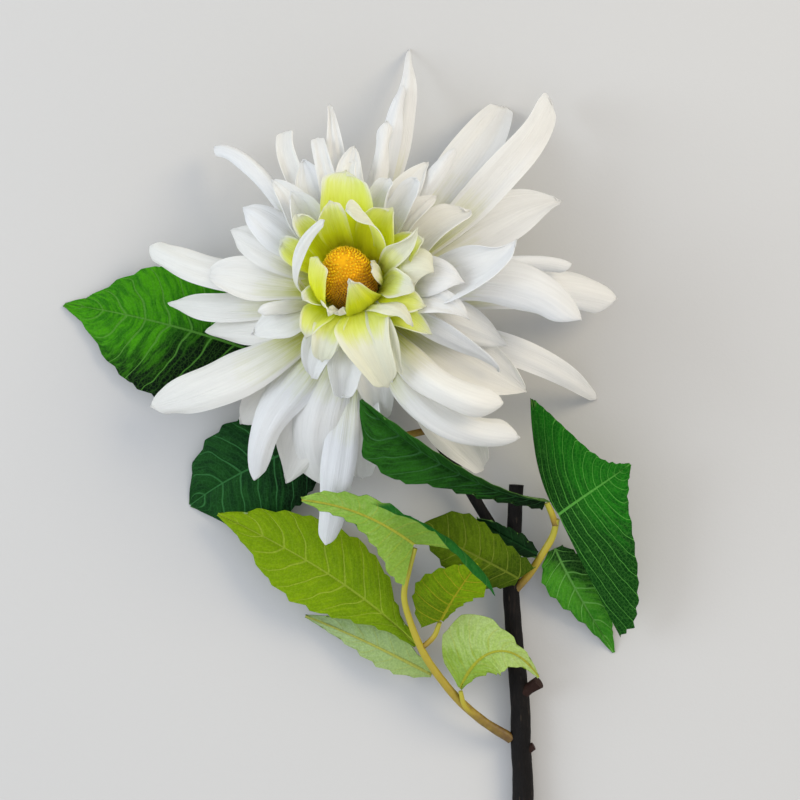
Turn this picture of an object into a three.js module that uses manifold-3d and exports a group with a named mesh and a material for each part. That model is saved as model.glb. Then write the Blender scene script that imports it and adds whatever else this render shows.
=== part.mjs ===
// A cut dahlia laid down on a flat surface: one double white bloom that faces up and leans a little
// away, a woody stem along the surface, and toothed leaves on their stalks round it.
// Millimetres, +Z up. Lengths and places are measured in the plan of the flower as seen from above.
import * as THREE from "three";
import { mergeVertices } from "three/addons/utils/BufferGeometryUtils.js";
import Module from "manifold-3d";

const wasm = await Module();
wasm.setup();

// Driving dimensions, in millimetres and degrees.
const PLAN_MIDDLE = [-17.2, -55.5]; // the middle of the whole flower's outline, which becomes the origin
const CLEARANCE = 0.3; // left between two pieces that meet
const BLOOM_CENTRE = [-16, 37.5, 50]; // the middle of the disc's foot
const BLOOM_AXIS = [-0.17, 0.3, 0.94]; // the way the bloom faces
const DISC_RADIUS = 9.6;
const DISC_HEIGHT = 15.5;
const DISC_LEAN = 3; // of the dome's top, the way the bloom leans
const COLLAR_RADIUS = 11.8; // outside of the ring that carries the lime petals
const CORE_DEPTH = 20; // of the head that the white petals grow from
const PETAL_THICKNESS = 0.7;
const LEAF_THICKNESS = 0.7;
const ROOT_SINK = 3.5; // how far a petal's root goes into what it grows from
const STEM_RADIUS = 4;
const SMALLEST_EDGE = 0.02;

const degrees = THREE.MathUtils.degToRad;
const lerp = THREE.MathUtils.lerp;
const clamp = THREE.MathUtils.clamp;
const smoothstep = THREE.MathUtils.smoothstep;
const vector = (triple) => new THREE.Vector3(...triple);

// The bloom's own frame: its axis, and two directions square to it.
const centre = vector(BLOOM_CENTRE);
const axis = vector(BLOOM_AXIS).normalize();
const across = new THREE.Vector3(1, 0, 0).addScaledVector(axis, -axis.x).normalize();
const beyond = axis.clone().cross(across);

function outward(azimuth) {
  return across
    .clone()
    .multiplyScalar(Math.cos(azimuth))
    .addScaledVector(beyond, Math.sin(azimuth));
}

function bloomPoint(azimuth, radius, height) {
  return centre
    .clone()
    .addScaledVector(outward(azimuth), radius)
    .addScaledVector(axis, height);
}

// Solids: a closed mesh as a manifold, and back.
function solidOf(geometry) {
  const bare = geometry.clone();
  bare.deleteAttribute("normal");
  bare.deleteAttribute("uv");
  const merged = mergeVertices(bare, 1e-4);
  const mesh = new wasm.Mesh({
    numProp: 3,
    vertProperties: new Float32Array(merged.attributes.position.array),
    triVerts: new Uint32Array(merged.index.array),
  });
  return new wasm.Manifold(mesh);
}

// The largest body alone: loose scraps go, and hollows sealed inside are filled.
function mainBody(solid) {
  const bodies = solid.simplify(SMALLEST_EDGE).decompose();
  return bodies.reduce((largest, next) => (next.volume() > largest.volume() ? next : largest));
}

function geometryOf(solid) {
  const mesh = mainBody(solid).getMesh();
  const geometry = new THREE.BufferGeometry();
  geometry.setAttribute("position", new THREE.BufferAttribute(mesh.vertProperties, 3));
  geometry.setIndex(new THREE.BufferAttribute(mesh.triVerts, 1));
  geometry.computeVertexNormals();
  return geometry;
}

function joined(solids) {
  return solids.reduce((whole, next) => whole.add(next));
}

// A closed skin over rows of points: each row is a ring or an upper face followed by a lower one.
function skin(points, triangles) {
  const geometry = new THREE.BufferGeometry().setFromPoints(points);
  geometry.setIndex(triangles);
  return geometry;
}

// A thin sheet between two grids of points with the same triangles on both faces.
function sheet(upper, lower, rows, columns) {
  const at = (i, j) => i * columns + j;
  const under = upper.length;
  const triangles = [];
  for (let i = 0; i < rows - 1; i++) {
    for (let j = 0; j < columns - 1; j++) {
      const [a, b, c, d] = [at(i, j), at(i + 1, j), at(i + 1, j + 1), at(i, j + 1)];
      triangles.push(a, b, c, a, c, d);
      triangles.push(under + a, under + c, under + b, under + a, under + d, under + c);
    }
  }
  const rim = [];
  for (let j = 0; j < columns - 1; j++) rim.push(at(0, j));
  for (let i = 0; i < rows - 1; i++) rim.push(at(i, columns - 1));
  for (let j = columns - 1; j > 0; j--) rim.push(at(rows - 1, j));
  for (let i = rows - 1; i > 0; i--) rim.push(at(i, 0));
  rim.forEach((from, k) => {
    const to = rim[(k + 1) % rim.length];
    triangles.push(from, to, under + to, from, under + to, under + from);
  });
  return skin([...upper, ...lower], triangles);
}

// One petal or leaf: a sheet swept along its midrib. form(t, side) tells, for the half on that side
// (1 is left, -1 is right, seen from the upper face with the tip ahead), how far it reaches, how it
// leans up from the midrib, how much it curls up further to its edge, and how far its edge is swept
// forward. It turns about the midrib by twist from root to tip.
function blade({ midrib, sideways, stations, columns, form, twist, thickness }) {
  const upper = [];
  const lower = [];
  for (const t of stations) {
    const middle = midrib.getPoint(t);
    const forward = midrib.getTangent(t);
    const side = sideways
      .clone()
      .addScaledVector(forward, -sideways.dot(forward))
      .normalize()
      .applyAxisAngle(forward, twist * t);
    const face = forward.clone().cross(side);
    const [left, right] = [form(t, 1, 0).lean, form(t, -1, 0).lean];
    const ridge = face
      .clone()
      .multiplyScalar(Math.cos((left - right) / 2))
      .addScaledVector(side, -Math.sin((left - right) / 2))
      .divideScalar(Math.cos((left + right) / 2));
    for (let j = 0; j < columns; j++) {
      const share = (2 * j) / (columns - 1) - 1;
      const out = Math.abs(share);
      const way = share < 0 ? -1 : 1;
      const { reach, lean, curl, sweep } = form(t, way, out);
      const end = lean + curl * out;
      const bent = Math.abs(curl * out) > 1e-4;
      const level = bent ? (Math.sin(end) - Math.sin(lean)) / (curl * out) : Math.cos(lean);
      const rise = bent ? (Math.cos(lean) - Math.cos(end)) / (curl * out) : Math.sin(lean);
      const spot = middle
        .clone()
        .addScaledVector(side, share * reach * level)
        .addScaledVector(face, out * reach * rise)
        .addScaledVector(forward, out ** (sweep > 0 ? 1.6 : 1) * sweep);
      const normal = ridge.clone();
      if (share !== 0) {
        normal.copy(face).multiplyScalar(Math.cos(end));
        normal.addScaledVector(side, -way * Math.sin(end));
      }
      upper.push(settled(spot, normal, thickness / 2, thickness));
      lower.push(settled(spot, normal, -thickness / 2, 0));
    }
  }
  return sheet(upper, lower, stations.length, columns);
}

// What reaches the surface lies on it.
function settled(spot, normal, offset, floor) {
  const placed = spot.clone().addScaledVector(normal, offset);
  placed.z = Math.max(placed.z, floor);
  return placed;
}

// A stalk: rings round a smooth curve, closed at both ends.
function stalk(path, radii, sides, steps) {
  const curve = new THREE.CatmullRomCurve3(path.map(vector), false, "centripetal");
  const points = [];
  const triangles = [];
  const level = new THREE.Vector3(0, 0, 1);
  for (let i = 0; i <= steps; i++) {
    const t = i / steps;
    const forward = curve.getTangentAt(t);
    const right = Math.abs(forward.z) > 0.9 ? new THREE.Vector3(1, 0, 0) : level.clone();
    right.cross(forward).normalize();
    const up = forward.clone().cross(right);
    const at = t * (radii.length - 1);
    const k = Math.min(Math.floor(at), radii.length - 2);
    const radius = lerp(radii[k], radii[k + 1], at - k);
    for (let j = 0; j < sides; j++) {
      const angle = ((j + 0.5) / sides) * 2 * Math.PI;
      const ring = curve.getPointAt(t);
      ring.addScaledVector(right, radius * Math.cos(angle));
      ring.addScaledVector(up, radius * Math.sin(angle));
      points.push(ring);
    }
  }
  for (let i = 0; i < steps; i++) {
    for (let j = 0; j < sides; j++) {
      const next = (j + 1) % sides;
      const [a, b] = [i * sides + j, i * sides + next];
      const [c, d] = [a + sides, b + sides];
      triangles.push(a, b, d, a, d, c);
    }
  }
  const last = steps * sides;
  for (let j = 1; j < sides - 1; j++) {
    triangles.push(0, j + 1, j, last, last + j, last + j + 1);
  }
  return solidOf(skin(points, triangles));
}

// A turned solid on the bloom's axis, from a profile of [radius, height] that starts and ends on it.
function turned(profile, segments) {
  const outline = profile.map(([radius, height]) => new THREE.Vector2(radius, height));
  const geometry = new THREE.LatheGeometry(outline, segments);
  const turn = new THREE.Matrix4().makeBasis(across, axis, beyond.clone().negate());
  geometry.applyMatrix4(turn.setPosition(centre));
  return solidOf(geometry);
}

// Petals. Each row is one petal, read off the bloom from above: where it is rooted, the way its tip
// lies and how far from the disc's middle, its tip's height over the surface, its width, how much it
// arches over the straight line, how its edges curl (down is negative), how far it twists, its tip's
// share of the width, how far it sways to its left, and how far along it is widest.
const OUTER_PETALS = [
  [77, 77, 85.5, 0.2, 10, 14, -40, 15, 0.12, -5, 0.5],
  [76, 76, 70.9, 18, 10, 10, -60, -25, 0.25, 0, 0.5],
  [97, 97, 61.9, 24, 8, 8, 60, 30, 0.2, -1, 0.4],
  [113, 113, 57.6, 20, 8, 8, 80, -10, 0.7, 4, 0.5],
  [134, 134, 68.1, 9, 9, 14, -70, 15, 0.8, -8, 0.6],
  [168, 168, 70.6, 12, 12.5, 14, -45, 10, 0.6, 6, 0.5],
  [184, 184, 63.4, 9, 11, 10, -30, 0, 0.1, 3, 0.5],
  [196, 196, 52, 14, 13, 8, -30, 0, 0.12, 2, 0.5],
  [212, 210, 79.2, 15, 19, 16, -45, 10, 0.4, 6, 0.55],
  [230, 230, 59.5, 12, 18, 10, -20, 0, 0.2, 0, 0.6],
  [236, 243, 72.3, 22, 17, 10, -60, -5, 0.42, -6, 0.35],
  [251, 251, 69.6, 14, 20, 10, -20, 0, 0.08, 0, 0.6],
  [258, 262, 67.1, 19, 22, 14, -25, 0, 0.72, -8, 0.6],
  [264, 264, 86.9, 18, 13, 4, -50, 0, 0.5, 0, 0.55],
  [273, 273, 64.1, 15, 16, 10, 30, 0, 0.4, 0, 0.55],
  [306, 306, 75.6, 12, 20, 10, 30, 0, 0.3, 0, 0.55],
  [304, 304, 66.5, 20, 11, 8, -40, 20, 0.12, -4, 0.55],
  [304, 318, 74.4, 48, 18, 10, -80, 0, 0.9, -13, 0.55],
  [310, 322, 62.4, 60, 15, 10, -80, -8, 0.9, -8, 0.5],
  [329, 329, 67.8, 30, 20, 10, 35, 0, 0.12, -2, 0.55],
  [336, 336, 91.6, 0.2, 10, 14, -15, 10, 0.3, 3, 0.5],
  [352, 351, 75.7, 56, 22, 12, -85, 0, 0.85, 11, 0.7],
  [358, 358, 90.1, 10, 17, 16, -60, 0, 0.8, 3, 0.6],
  [6, 6, 73.2, 34, 10, 12, -100, -20, 0.9, 3, 0.6],
  [5, 15, 55.5, 60, 23, 8, 40, -25, 0.08, -12, 0.55],
  [23, 23, 76.8, 14, 20, 12, 20, 0, 0.12, 3, 0.5],
  [32, 32, 46.2, 46, 17, 6, 35, -20, 0.3, 0, 0.5],
  [38, 44, 93.6, 8, 13, 20, 30, 40, 0.75, -9, 0.5],
  [51, 51, 82, 0.2, 17, 12, 20, 0, 0.45, -4, 0.6],
  [53, 53, 56.6, 40, 6.5, 12, -100, 0, 0.9, -2, 0.6],
];
const MIDDLE_PETALS = [
  [78, 78, 56.3, 34, 9, 6, -60, 0, 0.75, -2, 0.55],
  [103, 103, 50.7, 34, 6, 6, 60, 20, 0.6, -1, 0.5],
  [127, 127, 43.5, 44, 12, 4, 30, 10, 0.15, -2, 0.5],
  [144, 144, 44.2, 38, 13, 6, -20, 0, 0.15, 0, 0.5],
  [155, 155, 44.2, 32, 13, 6, -20, 0, 0.12, 1, 0.5],
  [175, 175, 49, 28, 16, 6, 15, 0, 0.12, 0, 0.45],
  [196, 196, 31.4, 50, 8, 5, -110, 0, 0.9, 0, 0.55],
  [206, 206, 36.3, 42, 13, 5, -15, 0, 0.2, 0, 0.5],
  [247, 247, 32.9, 44, 13, 6, 30, 0, 0.3, 0, 0.5],
  [265, 265, 37, 46, 12, 6, 45, 0, 0.5, 2, 0.55],
  [284, 284, 45.5, 34, 13, 6, 20, 10, 0.3, 0, 0.5],
  [330, 330, 56.2, 46, 8, 6, -25, 80, 0.3, 0, 0.5],
  [339, 339, 43, 48, 6.5, 4, 15, 0, 0.65, -2, 0.6],
  [343, 343, 40.2, 62, 12, 4, 30, 0, 0.08, 2, 0.5],
  [360, 360, 36.9, 62, 14, 4, -20, 0, 0.08, 2, 0.5],
  [46, 46, 40.3, 50, 10, 4, 30, 0, 0.2, 0, 0.5],
  [58, 58, 40.5, 56, 9, 4, 40, 0, 0.4, -2, 0.5],
  [69, 69, 36.5, 58, 10, 4, 50, 0, 0.5, 0, 0.5],
  [89, 89, 40.7, 50, 11, 4, 50, 0, 0.3, 0, 0.5],
  [123, 123, 36, 52, 12, 4, 40, 0, 0.2, 0, 0.5],
  [191, 112, 21.4, 68, 6.5, 2, 30, 0, 0.5, 6, 0.5],
  [111, 111, 44.9, 36, 12, 6, 20, 0, 0.15, 0, 0.5],
  [89, 89, 46.4, 38, 12, 6, 20, 0, 0.15, 0, 0.5],
  [58, 58, 47.9, 42, 11, 6, 20, 0, 0.15, 0, 0.5],
  [339, 339, 54.6, 40, 13, 6, -15, 0, 0.12, 0, 0.5],
];
const LIME_PETALS = [
  [88, 92, 36.5, 60, 17.5, 4, 20, 0, 0.8, 0, 0.6],
  [38, 93, 22.5, 72, 11, 5, -20, 0, 0.75, -7, 0.6],
  [222, 141, 13.1, 66, 10, 3, 25, 0, 0.85, 2, 0.6],
  [2, 42, 9, 65, 8, 2, 30, 0, 0.5, 0, 0.5],
  [300, 104, 1.2, 67, 13, 5, 12, 0, 0.05, 0, 0.2],
  [245, 240, 11.1, 63, 11, 3, 50, 0, 0.5, 0, 0.5],
  [207, 200, 16.1, 62, 9, 3, 40, 0, 0.4, 0, 0.5],
  [285, 290, 35.7, 58, 19, 9, 20, 0, 0.4, 0, 0.32],
  [303, 325, 24.5, 67, 9, 7, -60, -30, 0.3, 6, 0.5],
  [312, 300, 33.7, 61, 9, 7, 20, 20, 0.12, -2, 0.45],
  [252, 250, 26.8, 56, 12, 5, 30, 0, 0.4, 0, 0.5],
  [350, 353, 21, 66, 11, 3, 30, 0, 0.3, 0, 0.5],
  [22, 39, 27.9, 70, 9, 4, 60, 60, 0.12, -3, 0.45],
  [352, 7, 27.1, 64, 15, 4, -40, 0, 0.6, 4, 0.55],
  [50, 61, 28.1, 62, 16, 3, 30, 0, 0.2, 0, 0.5],
  [125, 128, 28.5, 58, 10, 3, 40, 0, 0.3, 0, 0.5],
  [150, 148, 27.3, 50, 10, 1, 30, 0, 0.4, 0, 0.5],
  [100, 104, 27.3, 64, 12, 3, 30, 0, 0.4, 0, 0.5],
  [20, 31, 27.8, 62, 12, 3, 20, 0, 0.2, 0, 0.5],
  [324, 343, 25.7, 63, 13, 3, 20, 0, 0.12, 0, 0.45],
  [230, 231, 22.6, 58, 11, 3, 30, 0, 0.3, 0, 0.5],
  [318, 328, 31.1, 60, 10, 3, 20, 0, 0.1, 0, 0.45],
];

// A petal is narrow at its root, widest further on, and ends in a share of its width.
function petalForm(width, rootShare, tipShare, curl, widest) {
  return (t) => {
    const swell = lerp(rootShare, 1, smoothstep(t, 0, widest));
    const past = clamp((t - widest) / (1 - widest), 0, 1);
    const narrow = 1 - (1 - tipShare) * past ** (0.8 + 1.8 * widest);
    return { reach: (width / 2) * swell * narrow, lean: 0, curl, sweep: 0 };
  };
}

function petal(row, layer) {
  const [root, toward, reach, height, width, arch, curl, twist, tipShare, sway, widest] = row;
  const tip = centre.clone();
  tip.x += reach * Math.cos(degrees(toward));
  tip.y += reach * Math.sin(degrees(toward));
  tip.z = height;
  const over = tip.clone().sub(centre).dot(axis);
  const azimuth = degrees(root);
  const foot = bloomPoint(azimuth, layer.radius, layer.rootHeight(over));
  const climb = degrees(layer.climb(over));
  const launch = outward(azimuth)
    .multiplyScalar(Math.cos(climb))
    .addScaledVector(axis, Math.sin(climb));
  const span = foot.distanceTo(tip);
  const chord = tip.clone().sub(foot);
  const aside = new THREE.Vector3(-chord.y, chord.x, 0).normalize();
  const second = foot
    .clone()
    .addScaledVector(launch, 0.38 * span)
    .addScaledVector(aside, 0.5 * sway);
  const third = tip
    .clone()
    .lerp(second, 0.42)
    .addScaledVector(axis, arch)
    .addScaledVector(aside, sway);
  const sunk = foot.clone().addScaledVector(launch, -ROOT_SINK);
  const geometry = blade({
    midrib: new THREE.CubicBezierCurve3(sunk, second, third, tip),
    sideways: outward(azimuth + Math.PI / 2),
    stations: layer.stations,
    columns: layer.columns,
    form: petalForm(width, layer.rootShare, tipShare, degrees(curl), widest),
    twist: degrees(twist),
    thickness: PETAL_THICKNESS,
  });
  return solidOf(geometry);
}

// How each layer leaves the head: the lower a petal's tip, the lower its root and the flatter it starts.
const OUTER_LAYER = {
  radius: 11.5,
  rootHeight: (over) => clamp(-9 + 0.12 * over, -15, -5),
  climb: (over) => clamp(24 + 0.6 * over, 0, 40),
  rootShare: 0.4,
  stations: [0, 0.25, 0.5, 0.72, 0.9, 1],
  columns: 3,
};
const MIDDLE_LAYER = {
  radius: 13,
  rootHeight: () => -4.5,
  climb: (over) => clamp(42 + over, 20, 60),
  rootShare: 0.45,
  stations: [0, 0.25, 0.5, 0.75, 0.92, 1],
  columns: 3,
};
const LIME_LAYER = {
  radius: 11,
  rootHeight: () => 1.4,
  climb: (over) => clamp(40 + 1.5 * over, 50, 75),
  rootShare: 0.5,
  stations: [0, 0.3, 0.6, 0.88, 1],
  columns: 3,
};

function whitePetals() {
  const core = turned(
    [
      [0, -CORE_DEPTH],
      [6, -CORE_DEPTH],
      [11.5, -13],
      [13, -6],
      [12, -2 - CLEARANCE],
      [0, -2 - CLEARANCE],
    ],
    20,
  );
  return joined([
    core,
    ...OUTER_PETALS.map((row) => petal(row, OUTER_LAYER)),
    ...MIDDLE_PETALS.map((row) => petal(row, MIDDLE_LAYER)),
  ]);
}

function limePetals() {
  const inside = DISC_RADIUS + 2 * CLEARANCE;
  const ring = turned(
    [
      [0, -2],
      [COLLAR_RADIUS - 0.6, -2],
      [COLLAR_RADIUS, 0.6],
      [0, 0.6],
    ],
    20,
  );
  const bore = turned(
    [
      [0, -1.2],
      [inside, -1.2],
      [inside, 6],
      [0, 6],
    ],
    20,
  );
  const below = turned(
    [
      [0, -8],
      [14, -8],
      [14, -2],
      [0, -2],
    ],
    20,
  );
  const petals = LIME_PETALS.map((row) => petal(row, LIME_LAYER));
  return joined([ring, ...petals]).subtract(joined([bore, below]));
}

// The disc is a dome packed with small florets, which show as knobs in alternate rings.
function disc() {
  const RINGS = 9;
  const AROUND = 30;
  const KNOB = 0.35;
  const points = [bloomPoint(0, 0, -1.2 + CLEARANCE)];
  const triangles = [];
  for (let i = 0; i <= RINGS; i++) {
    const slope = (i / (RINGS + 1)) * (Math.PI / 2);
    for (let j = 0; j < AROUND; j++) {
      const azimuth = ((j + 0.5 * (i % 2)) / AROUND) * 2 * Math.PI;
      const knob = i === 0 ? 0 : KNOB * (j % 2 === i % 2 ? 1 : -1);
      const radius = (DISC_RADIUS - KNOB + knob) * Math.cos(slope) ** 0.6;
      const height = i === 0 ? -1.2 + CLEARANCE : (DISC_HEIGHT + knob) * Math.sin(slope);
      const lean = DISC_LEAN * Math.sin(slope) ** 2;
      points.push(bloomPoint(azimuth, radius, height).addScaledVector(beyond, lean));
    }
  }
  points.push(bloomPoint(0, 0, DISC_HEIGHT).addScaledVector(beyond, DISC_LEAN));
  const top = points.length - 1;
  for (let j = 0; j < AROUND; j++) {
    const next = (j + 1) % AROUND;
    triangles.push(0, 1 + next, 1 + j);
    for (let i = 0; i < RINGS; i++) {
      const [a, b] = [1 + i * AROUND + j, 1 + i * AROUND + next];
      triangles.push(a, b, b + AROUND, a, b + AROUND, a + AROUND);
    }
    const ring = 1 + RINGS * AROUND;
    triangles.push(ring + j, ring + next, top);
  }
  return solidOf(skin(points, triangles));
}

// The green cup behind the head, with a ring of small bracts spread under the outer petals.
function calyx() {
  const BRACTS = 8;
  const top = -CORE_DEPTH - CLEARANCE;
  const cup = turned(
    [
      [0, top - 6],
      [3.4, top - 6],
      [5.6, top - 2.4],
      [6.2, top],
      [0, top],
    ],
    16,
  );
  const bracts = [];
  for (let k = 0; k < BRACTS; k++) {
    const azimuth = (k / BRACTS) * 2 * Math.PI;
    const path = [
      bloomPoint(azimuth, 4, top - 2),
      bloomPoint(azimuth, 8, top - 1.8),
      bloomPoint(azimuth, 12, top - 2),
      bloomPoint(azimuth, 16, top - 4.5),
    ];
    const geometry = blade({
      midrib: new THREE.CubicBezierCurve3(...path),
      sideways: outward(azimuth + Math.PI / 2),
      stations: [0, 0.35, 0.7, 1],
      columns: 3,
      form: petalForm(5.5, 0.6, 0.2, degrees(30), 0.55),
      twist: 0,
      thickness: 0.8,
    });
    bracts.push(solidOf(geometry));
  }
  return joined([cup, ...bracts]);
}

// The woody stem, its fork up to the bloom, and the stubs of lost side shoots.
const STEM_PATH = [
  [44, -232, STEM_RADIUS],
  [43.5, -180, STEM_RADIUS],
  [42, -131, 4.4],
  [41, -103, 5],
  [38.7, -76, 6],
  [38.2, -64, 6.6],
  [39, -45, 7.4],
  [39.8, -29, 8],
];
const FORK_PATH = [
  [38, -62, 6.6],
  [35, -50, 7.2],
  [27, -36, 7.4],
  [12, -12, 7],
  [-1, 9, 7.6],
  [-7.4, 21, 11],
];
const NECK = [-33, -CORE_DEPTH - 6 - 2 * CLEARANCE]; // where the fork comes onto the bloom's axis, and ends
const SHAFT_RADII = [STEM_RADIUS, 3.9, 3.8, 3.7, 3.4, 3.1, 2.7, 2.5];
const FORK_RADII = [2, 1.9, 1.9, 2, 2, 2.1, 2.3, 2.6];
const STUBS = [
  { from: [41, -101, 5], to: [47.5, -96.5, 8.5], radii: [2.6, 2.1] },
  { from: [41.8, -121, 4.4], to: [45.9, -118.6, 5.2], radii: [2, 1.3] },
  { from: [43.6, -186, 3.6], to: [38.6, -183, 5.4], radii: [2.2, 1.7] },
];

function stem() {
  const neck = NECK.map((height) => bloomPoint(0, 0, height).toArray());
  const shaft = stalk(STEM_PATH, SHAFT_RADII, 10, 22);
  const fork = stalk([...FORK_PATH, ...neck], FORK_RADII, 8, 18);
  const stubs = STUBS.map(({ from, to, radii }) => stalk([from, to], radii, 7, 1));
  return joined([shaft, fork, ...stubs]);
}

// Leaves: each midrib runs through four points from the stalk to the tip, and face is where the upper
// side looks. The rest is given for the left half and then for the right half: how far the edge
// stands off the midrib at seven even steps from the stalk, how the half leans up from the midrib, how
// it curls up further at the stalk's end and at the tip's end, and how far its foot is swept forward.
const LEAVES = {
  left_leaf: {
    midrib: [[-50, 16.6, 7], [-70, 24, 10], [-96, 30.5, 6], [-115.4, 33.1, 0.2]],
    face: [0, 0, 1],
    left: { reach: [1, 16, 23, 26, 23.5, 17.5, 7.5], lean: 8, curl: [-20, -20], sweep: 0 },
    right: { reach: [1, 14, 19.5, 21, 19.5, 13, 5], lean: 8, curl: [-20, -20], sweep: 0 },
    teeth: 9,
  },
  lower_leaf: {
    midrib: [[-25.4, -13.2, 7], [-40, -18, 9], [-58, -25, 7], [-72.2, -36.2, 0.2]],
    face: [0, 0, 1],
    left: { reach: [1, 13, 18, 20, 20, 18.5, 15], lean: 6, curl: [-18, -18], sweep: 0 },
    right: { reach: [1, 12, 16, 18, 18, 16, 11], lean: 6, curl: [-18, -18], sweep: 0 },
    teeth: 8,
  },
  spray_leaf_long: {
    midrib: [[5.6, -83.2, 14], [-12, -65, 13], [-36, -51, 12.5], [-62.1, -38.9, 9.6]],
    face: [0.1, -0.1, 1],
    left: { reach: [1, 4, 9, 13.5, 15, 12.5, 5.5], lean: 6, curl: [-14, -14], sweep: 0 },
    right: { reach: [1, 4, 12, 16, 16, 13.5, 8.5], lean: 6, curl: [-14, -14], sweep: 0 },
    teeth: 10,
  },
  spray_leaf_pale: {
    midrib: [[10.8, -93.4, 12.4], [-4, -86, 9], [-16, -80, 7], [-32.4, -74, 6]],
    face: [0.1, 0.1, -1],
    left: { reach: [1, 5, 7.5, 8, 7.5, 6, 3], lean: 4, curl: [-10, -10], sweep: 0 },
    right: { reach: [1, 5, 6.5, 6.5, 5, 3.5, 2], lean: 4, curl: [-10, -10], sweep: 0 },
    teeth: 7,
  },
  spray_leaf_end: {
    midrib: [[4.6, -48.2, 26.8], [-5, -41, 28.6], [-18, -34, 35], [-32.5, -33.2, 37]],
    face: [0, 0, -1],
    left: { reach: [20, 22, 17, 10, 8, 6, 4], lean: 0, curl: [-160, -20], sweep: -30 },
    right: { reach: [14, 14, 10, 7, 4.5, 3.5, 3], lean: 0, curl: [-10, -10], sweep: -6 },
    teeth: 9,
  },
  spray_leaf_olive: {
    midrib: [[13.8, -74.2, 20.6], [17, -68, 22], [21, -62, 22.6], [26, -55, 22.5]],
    face: [-0.1, -0.1, 1],
    left: { reach: [5, 10.5, 13.5, 14, 12, 9, 5], lean: 6, curl: [-20, -20], sweep: -6 },
    right: { reach: [1, 2, 3, 4.5, 6.5, 9, 6], lean: 6, curl: [-10, -10], sweep: 0 },
    teeth: 7,
  },
  spray_leaf_near: {
    midrib: [[20.6, -97.8, 15], [25.5, -84, 19], [37, -79, 19], [47, -93.9, 15.6]],
    face: [0.1, -0.1, -1],
    left: { reach: [1, 4, 6.5, 8.5, 8.5, 6, 2.5], lean: 4, curl: [-14, -14], sweep: 0 },
    right: { reach: [1, 12, 16, 16, 9, 4, 2.5], lean: 4, curl: [-30, -14], sweep: 0 },
    teeth: 7,
  },
  side_leaf: {
    midrib: [[40.3, -60.6, 14.2], [30, -54.6, 15.6], [18, -49, 17], [6.5, -42.5, 18]],
    face: [0, 0, 1],
    left: { reach: [3, 7.5, 10, 11, 10, 8, 5], lean: 6, curl: [-16, -16], sweep: 0 },
    right: { reach: [6.5, 8, 9, 10.5, 12, 12, 9], lean: 10, curl: [-8, -24], sweep: -3 },
    teeth: 7,
  },
  right_leaf_broad: {
    midrib: [[53.6, -38.9, 16.6], [61.3, -32.7, 20], [71, -26.5, 23], [77.2, -21.5, 24]],
    face: [0, 0, 1],
    left: { reach: [37, 36, 30.5, 22.5, 13, 6.5, 3], lean: 4, curl: [-8, -8], sweep: 18 },
    right: { reach: [46.5, 47, 41.4, 33, 22, 11, 4.5], lean: -1, curl: [-8, -8], sweep: -11.2 },
    teeth: 12,
  },
  right_leaf_hanging: {
    midrib: [[52.8, -50.6, 10.6], [57, -60, 9], [64.6, -73, 5], [73.6, -87, 0.2]],
    face: [0, 0, 1],
    left: { reach: [3, 7, 10, 11, 10, 7, 4], lean: 6, curl: [-14, -14], sweep: 0 },
    right: { reach: [3, 8, 9.8, 8.6, 6.5, 4, 2], lean: 6, curl: [-14, -14], sweep: 0 },
    teeth: 7,
  },
  right_leaf_folded: {
    midrib: [[49.1, -33.8, 17.2], [34, -33, 26], [8, -22, 42], [-12.8, 0, 53]],
    face: [0, -0.2, 1],
    left: { reach: [4, 3.5, 4.4, 5.9, 8.1, 13.5, 13.5], lean: 12, curl: [-8, -8], sweep: 0 },
    right: { reach: [3, 8, 8.5, 9, 9, 8.5, 6], lean: 62, curl: [6, 6], sweep: 0 },
    teeth: 10,
  },
  right_leaf_narrow: {
    midrib: [[46.7, -52.4, 12.2], [40, -49, 12.6], [33, -45, 12.8], [26, -40.6, 12.6]],
    face: [0, 0, 1],
    left: { reach: [1, 3, 4, 4, 3.5, 3, 2], lean: 6, curl: [-10, -10], sweep: 0 },
    right: { reach: [1, 3, 4, 4, 3.5, 3, 2], lean: 6, curl: [-10, -10], sweep: 0 },
    teeth: 5,
  },
};
const TOOTH_DEPTH = 1.2;
const TOOTH_PEAK = 0.72; // how far forward a tooth leans
const LEAF_TIP = 0.35; // half width of the very tip

// The stations along a leaf are its notches and the peaks of its teeth.
function leafStations(teeth) {
  const stations = [];
  for (let k = 0; k < teeth; k++) stations.push(k / teeth, (k + TOOTH_PEAK) / teeth);
  return [...stations, 1];
}

function leafForm({ left, right, teeth }) {
  return (t, way, out) => {
    const { reach, lean, curl, sweep } = way > 0 ? left : right;
    const knots = [...reach, LEAF_TIP];
    const at = Math.min(t * reach.length, reach.length - 1e-6);
    const edge = lerp(knots[Math.floor(at)], knots[Math.floor(at) + 1], at % 1);
    const notch = t > 0 && t < 1 && Math.abs(((t * teeth) % 1) - TOOTH_PEAK) > 0.1;
    return {
      reach: edge - (notch && out > 0.9 ? Math.min(TOOTH_DEPTH, 0.2 * edge) : 0),
      lean: degrees(lean),
      curl: degrees(lerp(curl[0], curl[1], smoothstep(t, 0.1, 0.7))),
      sweep: sweep * (1 - t) ** 2,
    };
  };
}

function leaf(row) {
  const midrib = new THREE.CubicBezierCurve3(...row.midrib.map(vector));
  const along = midrib.getPoint(1).sub(midrib.getPoint(0)).normalize();
  const geometry = blade({
    midrib,
    sideways: vector(row.face).cross(along).normalize(),
    stations: leafStations(row.teeth),
    columns: 5,
    form: leafForm(row),
    twist: 0,
    thickness: LEAF_THICKNESS,
  });
  return solidOf(geometry);
}

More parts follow.
